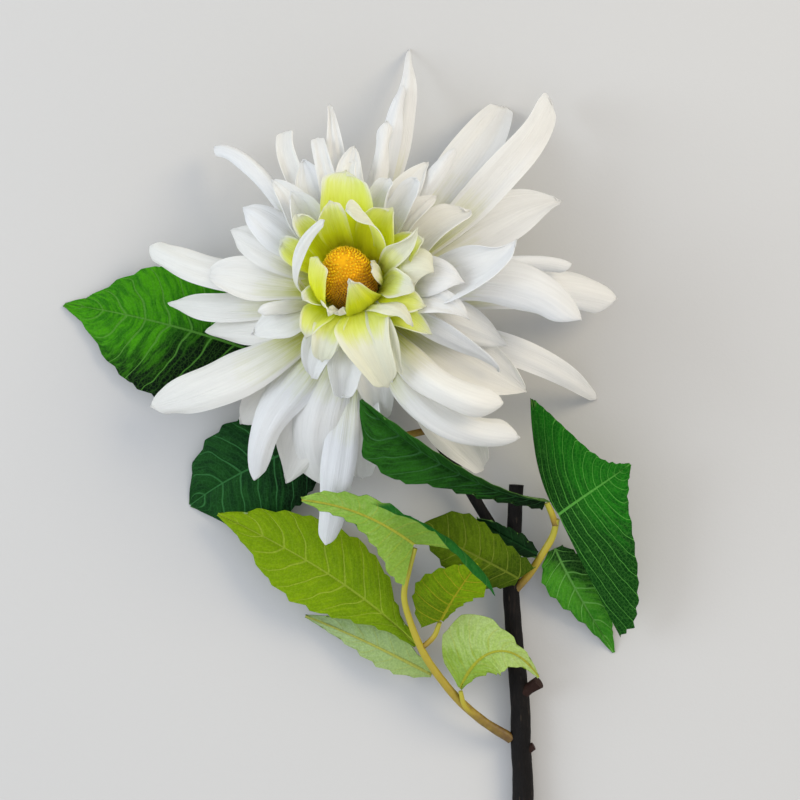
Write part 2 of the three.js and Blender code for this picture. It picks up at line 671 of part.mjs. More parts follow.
// The stalks that carry the leaves. Each is a main line with branches, and stops short of the leaf.
const STALKS = {
  left_leafstalk: [
    { path: [[-2, 10, 7.6], [-16, 10, 7], [-34, 13, 7], [-49.2, 16.4, 7]], radii: [1.3, 1] },
  ],
  lower_leafstalk: [
    { path: [[11, -10, 7], [0, -12.4, 7.6], [-12, -13.6, 7.6], [-24.6, -13.2, 7]], radii: [1.3, 1] },
  ],
  spray_stalk: [
    {
      path: [[38, -116, 5], [27.6, -109, 9], [20, -102, 12], [12.6, -93, 14], [7.6, -85, 16],
        [3.5, -75, 18.4], [1.4, -66, 21], [3, -57, 24.2], [5, -49.6, 26]],
      radii: [1.9, 1.6, 1.5, 1.4, 1.3, 1.2, 1.1, 1, 0.9],
    },
    { path: [[27.6, -109, 9], [22, -104, 13], [20.5, -98.8, 14.6]], radii: [1, 0.8] },
    { path: [[7, -84.4, 16], [11.5, -80, 16.6], [13.4, -75, 19.1]], radii: [1, 0.8] },
  ],
  side_leafstalk: [{ path: [[38.9, -58.2, 11.1], [39.8, -60.4, 12.9]], radii: [1.2, 1] }],
  right_stalk: [
    {
      path: [[38.4, -66, 6.6], [44, -59.6, 9], [49, -51.5, 11.6], [52, -46, 13], [53.2, -40.4, 14.8]],
      radii: [1.6, 1.4, 1.3, 1.2, 1],
    },
    { path: [[52.8, -42.4, 14], [51.4, -38.4, 16], [49.7, -34.8, 17]], radii: [1.2, 1] },
  ],
};

function leafStalks(branches, clearOf) {
  const tubes = branches.map(({ path, radii }) => stalk(path, radii, 6, 3 * (path.length - 1)));
  return joined(tubes).subtract(clearOf);
}

// The stem as its neighbours see it: thicker by the gap that they leave.
function stemWithGap() {
  const wider = (radii) => radii.map((radius) => radius + CLEARANCE);
  const neck = NECK.map((height) => bloomPoint(0, 0, height).toArray());
  const shaft = stalk(STEM_PATH, wider(SHAFT_RADII), 10, 22);
  const fork = stalk([...FORK_PATH, ...neck], wider(FORK_RADII), 8, 18);
  return joined([shaft, fork]);
}

const flower = new THREE.Group();
flower.position.set(-PLAN_MIDDLE[0], -PLAN_MIDDLE[1], 0);

function addPiece(name, solid, colour, roughness) {
  const material = new THREE.MeshStandardMaterial({ color: colour, roughness, metalness: 0 });
  const piece = new THREE.Mesh(geometryOf(solid), material);
  piece.name = name;
  flower.add(piece);
}

addPiece("stem", stem(), 0x2b211c, 0.75);
addPiece("calyx", calyx(), 0x6f8f3a, 0.7);
addPiece("white_petals", whitePetals(), 0xf3f1ec, 0.6);
addPiece("lime_petals", limePetals(), 0xc6d468, 0.6);
addPiece("disc", disc(), 0xe0a21c, 0.85);
const kept = stemWithGap();
for (const [name, branches] of Object.entries(STALKS)) {
  addPiece(name, leafStalks(branches, kept), 0xb8a83a, 0.55);
}
for (const [name, row] of Object.entries(LEAVES)) {
  addPiece(name, leaf(row), name.startsWith("spray") ? 0x9bb53a : 0x2f7a2c, 0.55);
}

export default flower;
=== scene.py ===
"""The looks of a cut dahlia that lies on a pale surface: a white double bloom with a lime heart and a
yellow disc, toothed leaves on yellow stalks, and a dark woody stem.

Shapes are worked out in millimetres in the flower's plan, from the same values as its solids, and are
moved into the row frame in metres when a mesh is made."""

import math
from typing import NamedTuple

import bpy
import numpy as np
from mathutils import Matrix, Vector


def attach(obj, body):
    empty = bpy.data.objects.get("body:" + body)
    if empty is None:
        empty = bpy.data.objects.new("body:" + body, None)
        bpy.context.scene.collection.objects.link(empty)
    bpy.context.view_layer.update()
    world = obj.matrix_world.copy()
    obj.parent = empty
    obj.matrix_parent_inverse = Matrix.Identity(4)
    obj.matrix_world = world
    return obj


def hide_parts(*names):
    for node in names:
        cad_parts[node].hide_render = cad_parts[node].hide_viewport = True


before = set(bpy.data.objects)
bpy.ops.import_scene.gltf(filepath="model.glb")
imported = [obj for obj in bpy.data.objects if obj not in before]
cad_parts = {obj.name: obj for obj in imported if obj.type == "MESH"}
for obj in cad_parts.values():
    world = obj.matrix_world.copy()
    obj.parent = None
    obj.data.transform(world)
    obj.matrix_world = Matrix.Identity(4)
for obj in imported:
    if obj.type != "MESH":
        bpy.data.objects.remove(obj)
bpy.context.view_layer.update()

# How the plan lies in the row frame, whose middle is that of the whole flower's box.
PLAN_SHIFT = np.array([17.2, 55.5, 0.0])
BLOOM_CENTRE = np.array([-16.0, 37.5, 50.0])
DISC_RADIUS = 9.6
DISC_HEIGHT = 15.5
DISC_LEAN = 3.0
COLLAR_RADIUS = 11.8
CORE_DEPTH = 20.0
ROOT_SINK = 3.5
PETAL_THICKNESS = 0.4
LEAF_THICKNESS = 0.45
BRACT_THICKNESS = 0.6
STEM_RADIUS = 4.0
SHEET_CLEARANCE = 0.03
STALK_CLEARANCE = 0.02


def unit(v):
    return v / np.maximum(np.linalg.norm(v, axis=-1, keepdims=True), 1e-9)


def smoothstep(x, low, high):
    x = np.clip((x - low) / (high - low), 0, 1)
    return x * x * (3 - 2 * x)


def ripple(seed, x, y, pace):
    """A smooth wandering value, mostly between -1 and 1, that differs for each seed."""
    random = np.random.default_rng(seed)
    total = 0
    for _ in range(6):
        heading = random.uniform(0, 2 * math.pi)
        speed = pace * random.uniform(0.5, 1.5)
        step = x * math.cos(heading) + y * math.sin(heading)
        total = total + np.sin(speed * step + random.uniform(0, 2 * math.pi))
    return total / 2.5


# The bloom's own frame: its axis, and two directions square to it.
axis = unit(np.array([-0.17, 0.3, 0.94]))
across = unit(np.array([1.0, 0, 0]) - axis * axis[0])
beyond = np.cross(axis, across)


def outward(azimuth):
    return across * math.cos(azimuth) + beyond * math.sin(azimuth)


def bloom_point(azimuth, radius, height):
    return BLOOM_CENTRE + outward(azimuth) * radius + axis * height


class Shape:
    """Closed forms gathered into one mesh. Each point carries where it is along and across its petal or
    leaf, which face it is on (1 is the upper one), a tint and a paleness of its own, and how far it is
    from the midrib in millimetres."""

    LAYERS = ("along", "across", "upper", "tint", "pale", "far")

    def __init__(self):
        self.points = []
        self.faces = []
        self.creases = []
        self.layers = {name: [] for name in self.LAYERS}
        self.count = 0

    def add(self, points, faces, creases=(), **values):
        self.points.append(points)
        self.faces.extend([[k + self.count for k in face] for face in faces])
        self.creases.extend([(a + self.count, b + self.count) for a, b in creases])
        for name, layer in self.layers.items():
            layer.append(np.broadcast_to(values.get(name, 0.0), len(points)))
        self.count += len(points)

    def make(self, name, node, material):
        points = (np.concatenate(self.points) + PLAN_SHIFT) * 0.001
        mesh = bpy.data.meshes.new(name)
        mesh.from_pydata(points.tolist(), [], self.faces)
        for layer_name, layer in self.layers.items():
            attribute = mesh.attributes.new(layer_name, "FLOAT", "POINT")
            attribute.data.foreach_set("value", np.concatenate(layer).astype(np.float32))
        mesh.polygons.foreach_set("use_smooth", np.ones(len(mesh.polygons), bool))
        if self.creases:
            ends = np.zeros(2 * len(mesh.edges), int)
            mesh.edges.foreach_get("vertices", ends)
            ends = np.sort(ends.reshape(-1, 2), axis=1)
            wanted = np.sort(np.array(self.creases), axis=1)
            sharp = np.isin(ends @ [self.count, 1], wanted @ [self.count, 1])
            mesh.edges.foreach_set("use_edge_sharp", sharp)
        mesh.materials.append(material)
        piece = bpy.data.objects.new(name, mesh)
        bpy.context.scene.collection.objects.link(piece)
        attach(piece, "root")
        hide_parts(node)
        return piece


def bezier(four, t):
    """Points and slopes of a cubic curve."""
    a, b, c, d = [np.asarray(p, float) for p in four]
    t = np.asarray(t, float)[:, None]
    s = 1 - t
    points = s**3 * a + 3 * s * s * t * b + 3 * s * t * t * c + t**3 * d
    slopes = 3 * s * s * (b - a) + 6 * s * t * (c - b) + 3 * t * t * (d - c)
    return points, slopes


def grid_normals(spots, face):
    """Square to the sheet, on the side that face looks to."""
    normals = np.cross(np.gradient(spots, axis=0), np.gradient(spots, axis=1))
    lengths = np.linalg.norm(normals, axis=-1, keepdims=True)
    return np.where(lengths > 1e-7, normals / np.maximum(lengths, 1e-9), face[:, None])


def blade(shape, midrib, sideways, twist, along, shares, form, relief, thickness, **values):
    """One petal or leaf: a thin sheet swept along its midrib, turned about it by twist from root to
    tip. form gives how far each half reaches, leans up, curls up further and is swept forward, and
    relief how far the sheet stands off its smooth form."""
    middle, slope = bezier(midrib, along)
    forward = unit(slope)
    side = unit(sideways - forward * (forward @ sideways)[:, None])
    turn = (twist * along)[:, None]
    side = side * np.cos(turn) + np.cross(forward, side) * np.sin(turn)
    face = np.cross(forward, side)
    t, share = np.meshgrid(along, shares, indexing="ij")
    out = np.abs(share)
    way = np.where(share < 0, -1, 1)
    reach, lean, curl, sweep = form(t, way, out)
    bend = np.where(np.abs(curl * out) < 1e-4, 1e-4, curl * out)
    level = (np.sin(lean + bend) - np.sin(lean)) / bend
    rise = (np.cos(lean) - np.cos(lean + bend)) / bend
    spots = middle[:, None] + side[:, None] * (share * reach * level)[..., None]
    spots = spots + face[:, None] * (out * reach * rise)[..., None]
    spots = spots + forward[:, None] * (out ** np.where(sweep > 0, 1.6, 1) * sweep)[..., None]
    spots = spots + grid_normals(spots, face) * relief(t, share)[..., None]
    half = grid_normals(spots, face) * (thickness / 2 * (1 - 0.45 * out**4))[..., None]
    lower = spots - half
    lower[..., 2] = np.maximum(lower[..., 2], SHEET_CLEARANCE)
    upper = spots + half
    upper[..., 2] = np.maximum(upper[..., 2], SHEET_CLEARANCE + thickness)
    rows, columns = t.shape
    size = rows * columns
    at = np.arange(size).reshape(rows, columns)
    top = np.stack([at[:-1, :-1], at[1:, :-1], at[1:, 1:], at[:-1, 1:]], -1).reshape(-1, 4)
    faces = np.concatenate([top, top[:, ::-1] + size])
    rim = np.concatenate([at[0, :-1], at[:-1, -1], at[-1, :0:-1], at[:0:-1, 0]])
    after = np.roll(rim, -1)
    band = np.stack([rim, after, after + size, rim + size], -1)
    edges = np.stack([rim, after], -1)
    shape.add(
        np.concatenate([upper.reshape(-1, 3), lower.reshape(-1, 3)]),
        np.concatenate([faces, band]).tolist(),
        np.concatenate([edges, edges + size]).tolist(),
        along=np.tile(t.ravel(), 2),
        across=np.tile(share.ravel(), 2),
        upper=np.repeat([1.0, 0.0], size),
        far=np.tile((out * reach).ravel(), 2),
        **values,
    )


def smooth_line(path, count):
    """Evenly spaced points on a smooth line through path, and its directions there."""
    p = np.asarray(path, float)
    p = np.concatenate([[2 * p[0] - p[1]], p, [2 * p[-1] - p[-2]]])
    samples = []
    for a, b, c, d in zip(p, p[1:], p[2:], p[3:]):
        gaps = [np.linalg.norm(v) ** 0.5 for v in (b - a, c - b, d - c)]
        start = (b - a) / gaps[0] - (c - a) / (gaps[0] + gaps[1]) + (c - b) / gaps[1]
        end = (c - b) / gaps[1] - (d - b) / (gaps[1] + gaps[2]) + (d - c) / gaps[2]
        start, end = start * gaps[1], end * gaps[1]
        w = np.linspace(0, 1, 40)[:-1, None]
        cubic = (-3 * b + 3 * c - 2 * start - end) * w**2 + (2 * b - 2 * c + start + end) * w**3
        samples.append(b + start * w + cubic)
    dense = np.concatenate([*samples, p[-2][None]])
    run = np.concatenate([[0], np.cumsum(np.linalg.norm(np.diff(dense, axis=0), axis=1))])
    even = np.linspace(0, run[-1], count)
    points = np.stack([np.interp(even, run, dense[:, k]) for k in range(3)], -1)
    return points, unit(np.gradient(points, axis=0)), run[-1]


def tube(shape, path, radii, sides, pitch, rough, seed, **values):
    """A round stalk along path. rough is how far its skin stands off a true round, as a share."""
    length = smooth_line(path, 2)[2]
    count = max(6, int(length / pitch))
    points, forward, _ = smooth_line(path, count)
    steep = np.abs(forward[:, 2:]) > 0.9
    right = unit(np.cross(np.where(steep, [1.0, 0, 0], [0, 0, 1.0]), forward))
    up = np.cross(forward, right)
    t = np.linspace(0, 1, count)
    radius = np.interp(t * (len(radii) - 1), range(len(radii)), radii)[:, None]
    angle = np.linspace(0, 2 * math.pi, sides, endpoint=False)[None]
    down = t[:, None] * length
    skin = ripple(seed, np.cos(angle) * 2 + down * 0.35, np.sin(angle) * 2, 1.0)
    skin = skin + 0.5 * ripple(seed + 1, np.cos(angle) * 4 + down, np.sin(angle) * 4, 1.0)
    radius = radius * (1 + rough * skin)
    round_about = right[:, None] * (radius * np.cos(angle))[..., None]
    round_about = round_about + up[:, None] * (radius * np.sin(angle))[..., None]
    ring = points[:, None] + round_about
    ring[..., 2] = np.maximum(ring[..., 2], STALK_CLEARANCE)
    at = np.arange(count * sides).reshape(count, sides)
    turned_on = np.roll(at, -1, axis=1)
    quads = np.stack([at[:-1], turned_on[:-1], turned_on[1:], at[1:]], -1).reshape(-1, 4)
    faces = quads.tolist() + [at[0, ::-1].tolist(), at[-1].tolist()]
    shape.add(
        ring.reshape(-1, 3),
        faces,
        [*zip(at[0], turned_on[0]), *zip(at[-1], turned_on[-1])],
        along=np.repeat(t, sides),
        **values,
    )


def turned(shape, foot, rings, top, **values):
    """A closed form from rings of points round an axis, with a point at each end of it."""
    segments = len(rings[0])
    points = [foot, *(point for ring in rings for point in ring), top]
    topmost = 1 + (len(rings) - 1) * segments
    faces = []
    for k in range(segments):
        n = (k + 1) % segments
        faces.append([0, 1 + n, 1 + k])
        for i in range(len(rings) - 1):
            a, b = 1 + i * segments + k, 1 + i * segments + n
            faces.append([a, b, b + segments, a + segments])
        faces.append([topmost + k, topmost + n, len(points) - 1])
    shape.add(np.array(points), faces, **values)


def core(shape, profile, segments, **values):
    """A turned form on the bloom's axis, from a profile of (radius, height) that starts and ends on it."""
    angles = [2 * math.pi * k / segments for k in range(segments)]
    rings = [[bloom_point(angle, *spot) for angle in angles] for spot in profile[1:-1]]
    foot, top = bloom_point(0, *profile[0]), bloom_point(0, *profile[-1])
    turned(shape, foot, rings, top, **values)


class Petal(NamedTuple):
    """One petal, read off the bloom from above. Angles are in degrees, anticlockwise from +X."""

    root: float  # where round the disc it is rooted
    toward: float  # the way its tip lies from the disc's middle
    reach: float  # how far its tip lies from the disc's middle
    height: float  # its tip's height over the surface
    width: float
    arch: float  # how much it arches over the straight line
    curl: float  # how its edges curl up, or down where it is negative
    twist: float  # how far it turns about its midrib
    tip_share: float  # how blunt it is: how much of its width is left at the tip
    sway: float  # how far it swings out sideways
    widest: float  # where along it is widest
    pale: float = 0.0


# The columns are those of Petal: root, toward, reach, height, width, arch, curl, twist, tip_share,
# sway, widest.
OUTER_PETALS = [
    (77, 77, 85.5, 0.2, 10, 14, -40, 15, 0.12, -5, 0.5),
    (76, 76, 70.9, 18, 10, 10, -60, -25, 0.25, 0, 0.5),
    (97, 97, 61.9, 24, 8, 8, 30, 10, 0.25, -1, 0.4),
    (113, 113, 57.6, 20, 8, 8, 25, -5, 0.8, 4, 0.5),
    (134, 134, 68.1, 9, 9, 14, -70, 15, 0.8, -8, 0.6),
    (168, 168, 70.6, 12, 12.5, 14, -45, 10, 0.6, 6, 0.5),
    (184, 184, 63.4, 9, 11, 10, -30, 0, 0.1, 3, 0.5),
    (196, 196, 52, 14, 13, 8, -30, 0, 0.12, 2, 0.5),
    (212, 210, 79.2, 15, 19, 16, -45, 10, 0.4, 6, 0.55),
    (230, 230, 59.5, 12, 18, 10, -20, 0, 0.2, 0, 0.6),
    (236, 243, 72.3, 22, 17, 10, -60, -5, 0.42, -6, 0.35),
    (251, 251, 69.6, 14, 20, 10, -20, 0, 0.08, 0, 0.6),
    (258, 262, 67.1, 19, 22, 14, -25, 0, 0.72, -8, 0.6),
    (264, 264, 86.9, 18, 13, 4, -50, 0, 0.5, 0, 0.55),
    (273, 273, 64.1, 15, 16, 10, 30, 0, 0.4, 0, 0.55),
    (306, 306, 75.6, 12, 20, 10, 30, 0, 0.3, 0, 0.55),
    (304, 304, 66.5, 20, 11, 8, -40, 20, 0.12, -4, 0.55),
    (304, 318, 74.4, 48, 18, 10, -80, 0, 0.9, -13, 0.55),
    (310, 322, 62.4, 60, 15, 10, -80, -8, 0.9, -8, 0.5),
    (329, 329, 67.8, 30, 20, 10, 35, 0, 0.12, -2, 0.55),
    (336, 336, 91.6, 0.2, 10, 14, -15, 10, 0.3, 3, 0.5),
    (352, 351, 75.7, 56, 22, 12, -85, 0, 0.85, 11, 0.7),
    (358, 358, 90.1, 10, 17, 16, -60, 0, 0.8, 3, 0.6),
    (6, 6, 73.2, 34, 10, 12, -100, -20, 0.9, 3, 0.6),
    (5, 15, 55.5, 60, 23, 8, 40, -25, 0.08, -12, 0.55),
    (23, 23, 76.8, 14, 20, 12, 20, 0, 0.12, 3, 0.5),
    (32, 32, 46.2, 46, 17, 6, 35, -20, 0.3, 0, 0.5),
    (38, 44, 93.6, 8, 13, 20, 18, 36, 0.75, -9, 0.5),
    (51, 51, 82, 0.2, 17, 12, 20, 0, 0.45, -4, 0.6),
    (53, 53, 56.6, 40, 6.5, 12, -100, 0, 0.9, -2, 0.6),
]
MIDDLE_PETALS = [
    (78, 78, 56.3, 34, 9, 6, -60, 0, 0.75, -2, 0.55),
    (103, 103, 50.7, 34, 6.5, 6, 20, 5, 0.7, -1, 0.5),
    (127, 127, 43.5, 44, 12, 4, 30, 10, 0.15, -2, 0.5),
    (144, 144, 44.2, 38, 13, 6, -20, 0, 0.15, 0, 0.5),
    (155, 155, 44.2, 32, 13, 6, -20, 0, 0.12, 1, 0.5),
    (175, 175, 49, 28, 16, 6, 15, 0, 0.12, 0, 0.45),
    (196, 196, 31.4, 50, 8, 5, -110, 0, 0.9, 0, 0.55),
    (206, 206, 36.3, 42, 13, 5, -15, 0, 0.2, 0, 0.5),
    (247, 247, 32.9, 44, 13, 6, 30, 0, 0.3, 0, 0.5),
    (265, 265, 37, 46, 12, 6, 45, 0, 0.5, 2, 0.55),
    (284, 284, 45.5, 34, 13, 6, 20, 10, 0.3, 0, 0.5),
    (330, 330, 56.2, 46, 8, 6, -25, 80, 0.3, 0, 0.5),
    (339, 339, 43, 48, 6.5, 4, 15, 0, 0.65, -2, 0.6),
    (343, 343, 40.2, 62, 12, 4, 30, 0, 0.08, 2, 0.5),
    (360, 360, 36.9, 62, 14, 4, -20, 0, 0.08, 2, 0.5),
    (46, 46, 40.3, 50, 10, 4, 30, 0, 0.2, 0, 0.5),
    (58, 58, 40.5, 56, 9, 4, 40, 0, 0.4, -2, 0.5),
    (69, 69, 36.5, 58, 10, 4, 50, 0, 0.5, 0, 0.5),
    (89, 89, 40.7, 50, 11, 4, 50, 0, 0.3, 0, 0.5),
    (123, 123, 36, 52, 12, 4, 40, 0, 0.2, 0, 0.5),
    (191, 112, 21.4, 68, 6.5, 2, 30, 0, 0.5, 6, 0.5),
    (111, 111, 44.9, 36, 12, 6, 20, 0, 0.15, 0, 0.5),
    (89, 89, 46.4, 38, 12, 6, 20, 0, 0.15, 0, 0.5),
    (58, 58, 47.9, 42, 11, 6, 20, 0, 0.15, 0, 0.5),
    (339, 339, 54.6, 40, 13, 6, -15, 0, 0.12, 0, 0.5),
]
# Lime petals also have pale. Some are rooted elsewhere than they point, because they lean over the disc.
LIME_PETALS = [
    (88, 92, 36.5, 60, 17.5, 4, 20, 0, 0.8, 0, 0.6, -0.02),
    (38, 93, 22.5, 72, 11, 5, -20, 0, 0.75, -7, 0.6, 0.3),
    (222, 141, 13.1, 66, 10, 3, 25, 0, 0.85, 2, 0.6, -0.1),
    (2, 42, 9, 65, 8, 2, 30, 0, 0.5, 0, 0.5, 0.4),
    (300, 104, 1.2, 67, 13, 5, 12, 0, 0.05, 0, 0.2, 0.05),
    (245, 240, 11.1, 63, 11, 3, 50, 0, 0.5, 0, 0.5, 0.35),
    (207, 200, 16.1, 62, 9, 3, 40, 0, 0.4, 0, 0.5, 0.2),
    (285, 290, 35.7, 58, 19, 9, 20, 0, 0.4, 0, 0.32, 0.42),
    (303, 325, 24.5, 67, 9, 7, -60, -30, 0.3, 6, 0.5, 0.6),
    (312, 300, 33.7, 61, 9, 7, 20, 20, 0.12, -2, 0.45, 0.7),
    (252, 250, 26.8, 56, 12, 5, 30, 0, 0.4, 0, 0.5, 0.3),
    (350, 353, 21, 66, 11, 3, 30, 0, 0.3, 0, 0.5, 0.3),
    (22, 39, 27.9, 70, 9, 4, 60, 60, 0.12, -3, 0.45, 0.5),
    (352, 7, 27.1, 64, 15, 4, -40, 0, 0.6, 4, 0.55, 0.45),
    (50, 61, 28.1, 62, 16, 3, 30, 0, 0.2, 0, 0.5, -0.05),
    (125, 128, 28.5, 58, 10, 3, 40, 0, 0.3, 0, 0.5, 0.05),
    (150, 148, 27.3, 50, 10, 1, 30, 0, 0.4, 0, 0.5, 0.05),
    (100, 104, 27.3, 64, 12, 3, 30, 0, 0.4, 0, 0.5, 0),
    (20, 31, 27.8, 62, 12, 3, 20, 0, 0.2, 0, 0.5, 0),
    (324, 343, 25.7, 63, 13, 3, 20, 0, 0.12, 0, 0.45, 0.05),
    (230, 231, 22.6, 58, 11, 3, 30, 0, 0.3, 0, 0.5, 0.1),
    (318, 328, 31.1, 60, 10, 3, 20, 0, 0.1, 0, 0.45, 0),
]

# How far out and how high on the head a layer's petals are rooted, how steeply they start, in degrees,
# and how much of a petal's width its root has. over is how high its tip lies over the disc's foot.
OUTER_LAYER = {
    "radius": 11.5,
    "root_height": lambda over: np.clip(-9 + 0.12 * over, -15, -5),
    "climb": lambda over: np.clip(24 + 0.6 * over, 0, 40),
    "root_share": 0.4,
}
MIDDLE_LAYER = {
    "radius": 13,
    "root_height": lambda over: -4.5,
    "climb": lambda over: np.clip(42 + over, 20, 60),
    "root_share": 0.45,
}
LIME_LAYER = {
    "radius": 11,
    "root_height": lambda over: 1.4,
    "climb": lambda over: np.clip(40 + 1.5 * over, 50, 75),
    "root_share": 0.5,
}


def petal(shape, seed, layer, row):
    toward, azimuth = math.radians(row.toward), math.radians(row.root)
    tip = BLOOM_CENTRE + [row.reach * math.cos(toward), row.reach * math.sin(toward), 0]
    tip[2] = row.height
    over = (tip - BLOOM_CENTRE) @ axis
    foot = bloom_point(azimuth, layer["radius"], layer["root_height"](over))
    climb = math.radians(layer["climb"](over))
    launch = outward(azimuth) * math.cos(climb) + axis * math.sin(climb)
    span = np.linalg.norm(foot - tip)
    chord = tip - foot
    aside = unit(np.array([-chord[1], chord[0], 0]))
    second = foot + launch * 0.38 * span + aside * 0.5 * row.sway
    third = tip + (second - tip) * 0.42 + axis * row.arch + aside * row.sway
    midrib = [foot - launch * ROOT_SINK, second, third, tip]
    cap = np.clip(0.4 * row.tip_share * row.width / (span + ROOT_SINK), 0.03, 0.2)
    curl = math.radians(row.curl)
    ridges = 2 if row.width < 12 else 3
    random = np.random.default_rng(seed)
    phase = random.uniform(-0.6, 0.6)
    wave = random.uniform(0, 2 * math.pi)
    skew = random.uniform(-1, 1)
    fold = math.radians(random.uniform(-4, 14))
    nick = random.uniform(-0.25, 0.25)

    def form(t, way, out):
        swell = layer["root_share"] + (1 - layer["root_share"]) * smoothstep(t, 0, row.widest)
        past = np.clip((t - row.widest) / (1 - row.widest), 0, 1)
        ending = np.clip((t - 1 + cap) / cap, 0, 1)
        outline = np.maximum(np.sqrt(1 - ending**2.6), 0.04)
        uneven = 1 + 0.07 * way * skew * np.sin(math.pi * t) + 0.05 * np.sin(9 * t + wave + way)
        narrow = 1 - (1 - row.tip_share) * past ** (0.8 + 1.8 * row.widest)
        length = row.width / 2 * swell * narrow * outline * uneven
        roll = curl * (0.7 + 0.5 * smoothstep(t, 0.2, 0.9))
        swept = (nick * way - 0.35) * row.width * 0.25 * smoothstep(t, 0.75, 1)
        return length, fold * np.sin(math.pi * t) + 0 * out, roll, swept

    def relief(t, share):
        out = np.abs(share)
        body = np.sin(math.pi * np.clip(t, 0.02, 0.98)) ** 0.7
        folds = 0.24 * body * np.cos(math.pi * (ridges + 0.4 * skew) * share + phase + 1.2 * t)
        waves = np.sin(2.6 * math.pi * t * span / 50 + wave + 2 * (share > 0))
        ruffle = 0.65 * out**3 * smoothstep(t, 0.3, 0.75) * waves * (1 - smoothstep(t, 0.9, 1))
        warp = 0.8 * ripple(seed, t * span / 12, share * row.width / 12, 1.0) * smoothstep(t, 0.1, 0.4)
        return folds + ruffle + warp * (1 - 0.75 * smoothstep(t, 0.8, 1))

    body_steps = np.linspace(0, 1 - cap, 30)[:-1]
    cap_steps = 1 - cap + cap * np.sin(np.linspace(0, math.pi / 2, 9))
    blade(
        shape,
        midrib,
        outward(azimuth + math.pi / 2),
        math.radians(row.twist),
        np.concatenate([body_steps, cap_steps]),
        np.linspace(-1, 1, 19),
        form,
        relief,
        PETAL_THICKNESS,
        tint=random.uniform(0, 1),
        pale=row.pale,
    )


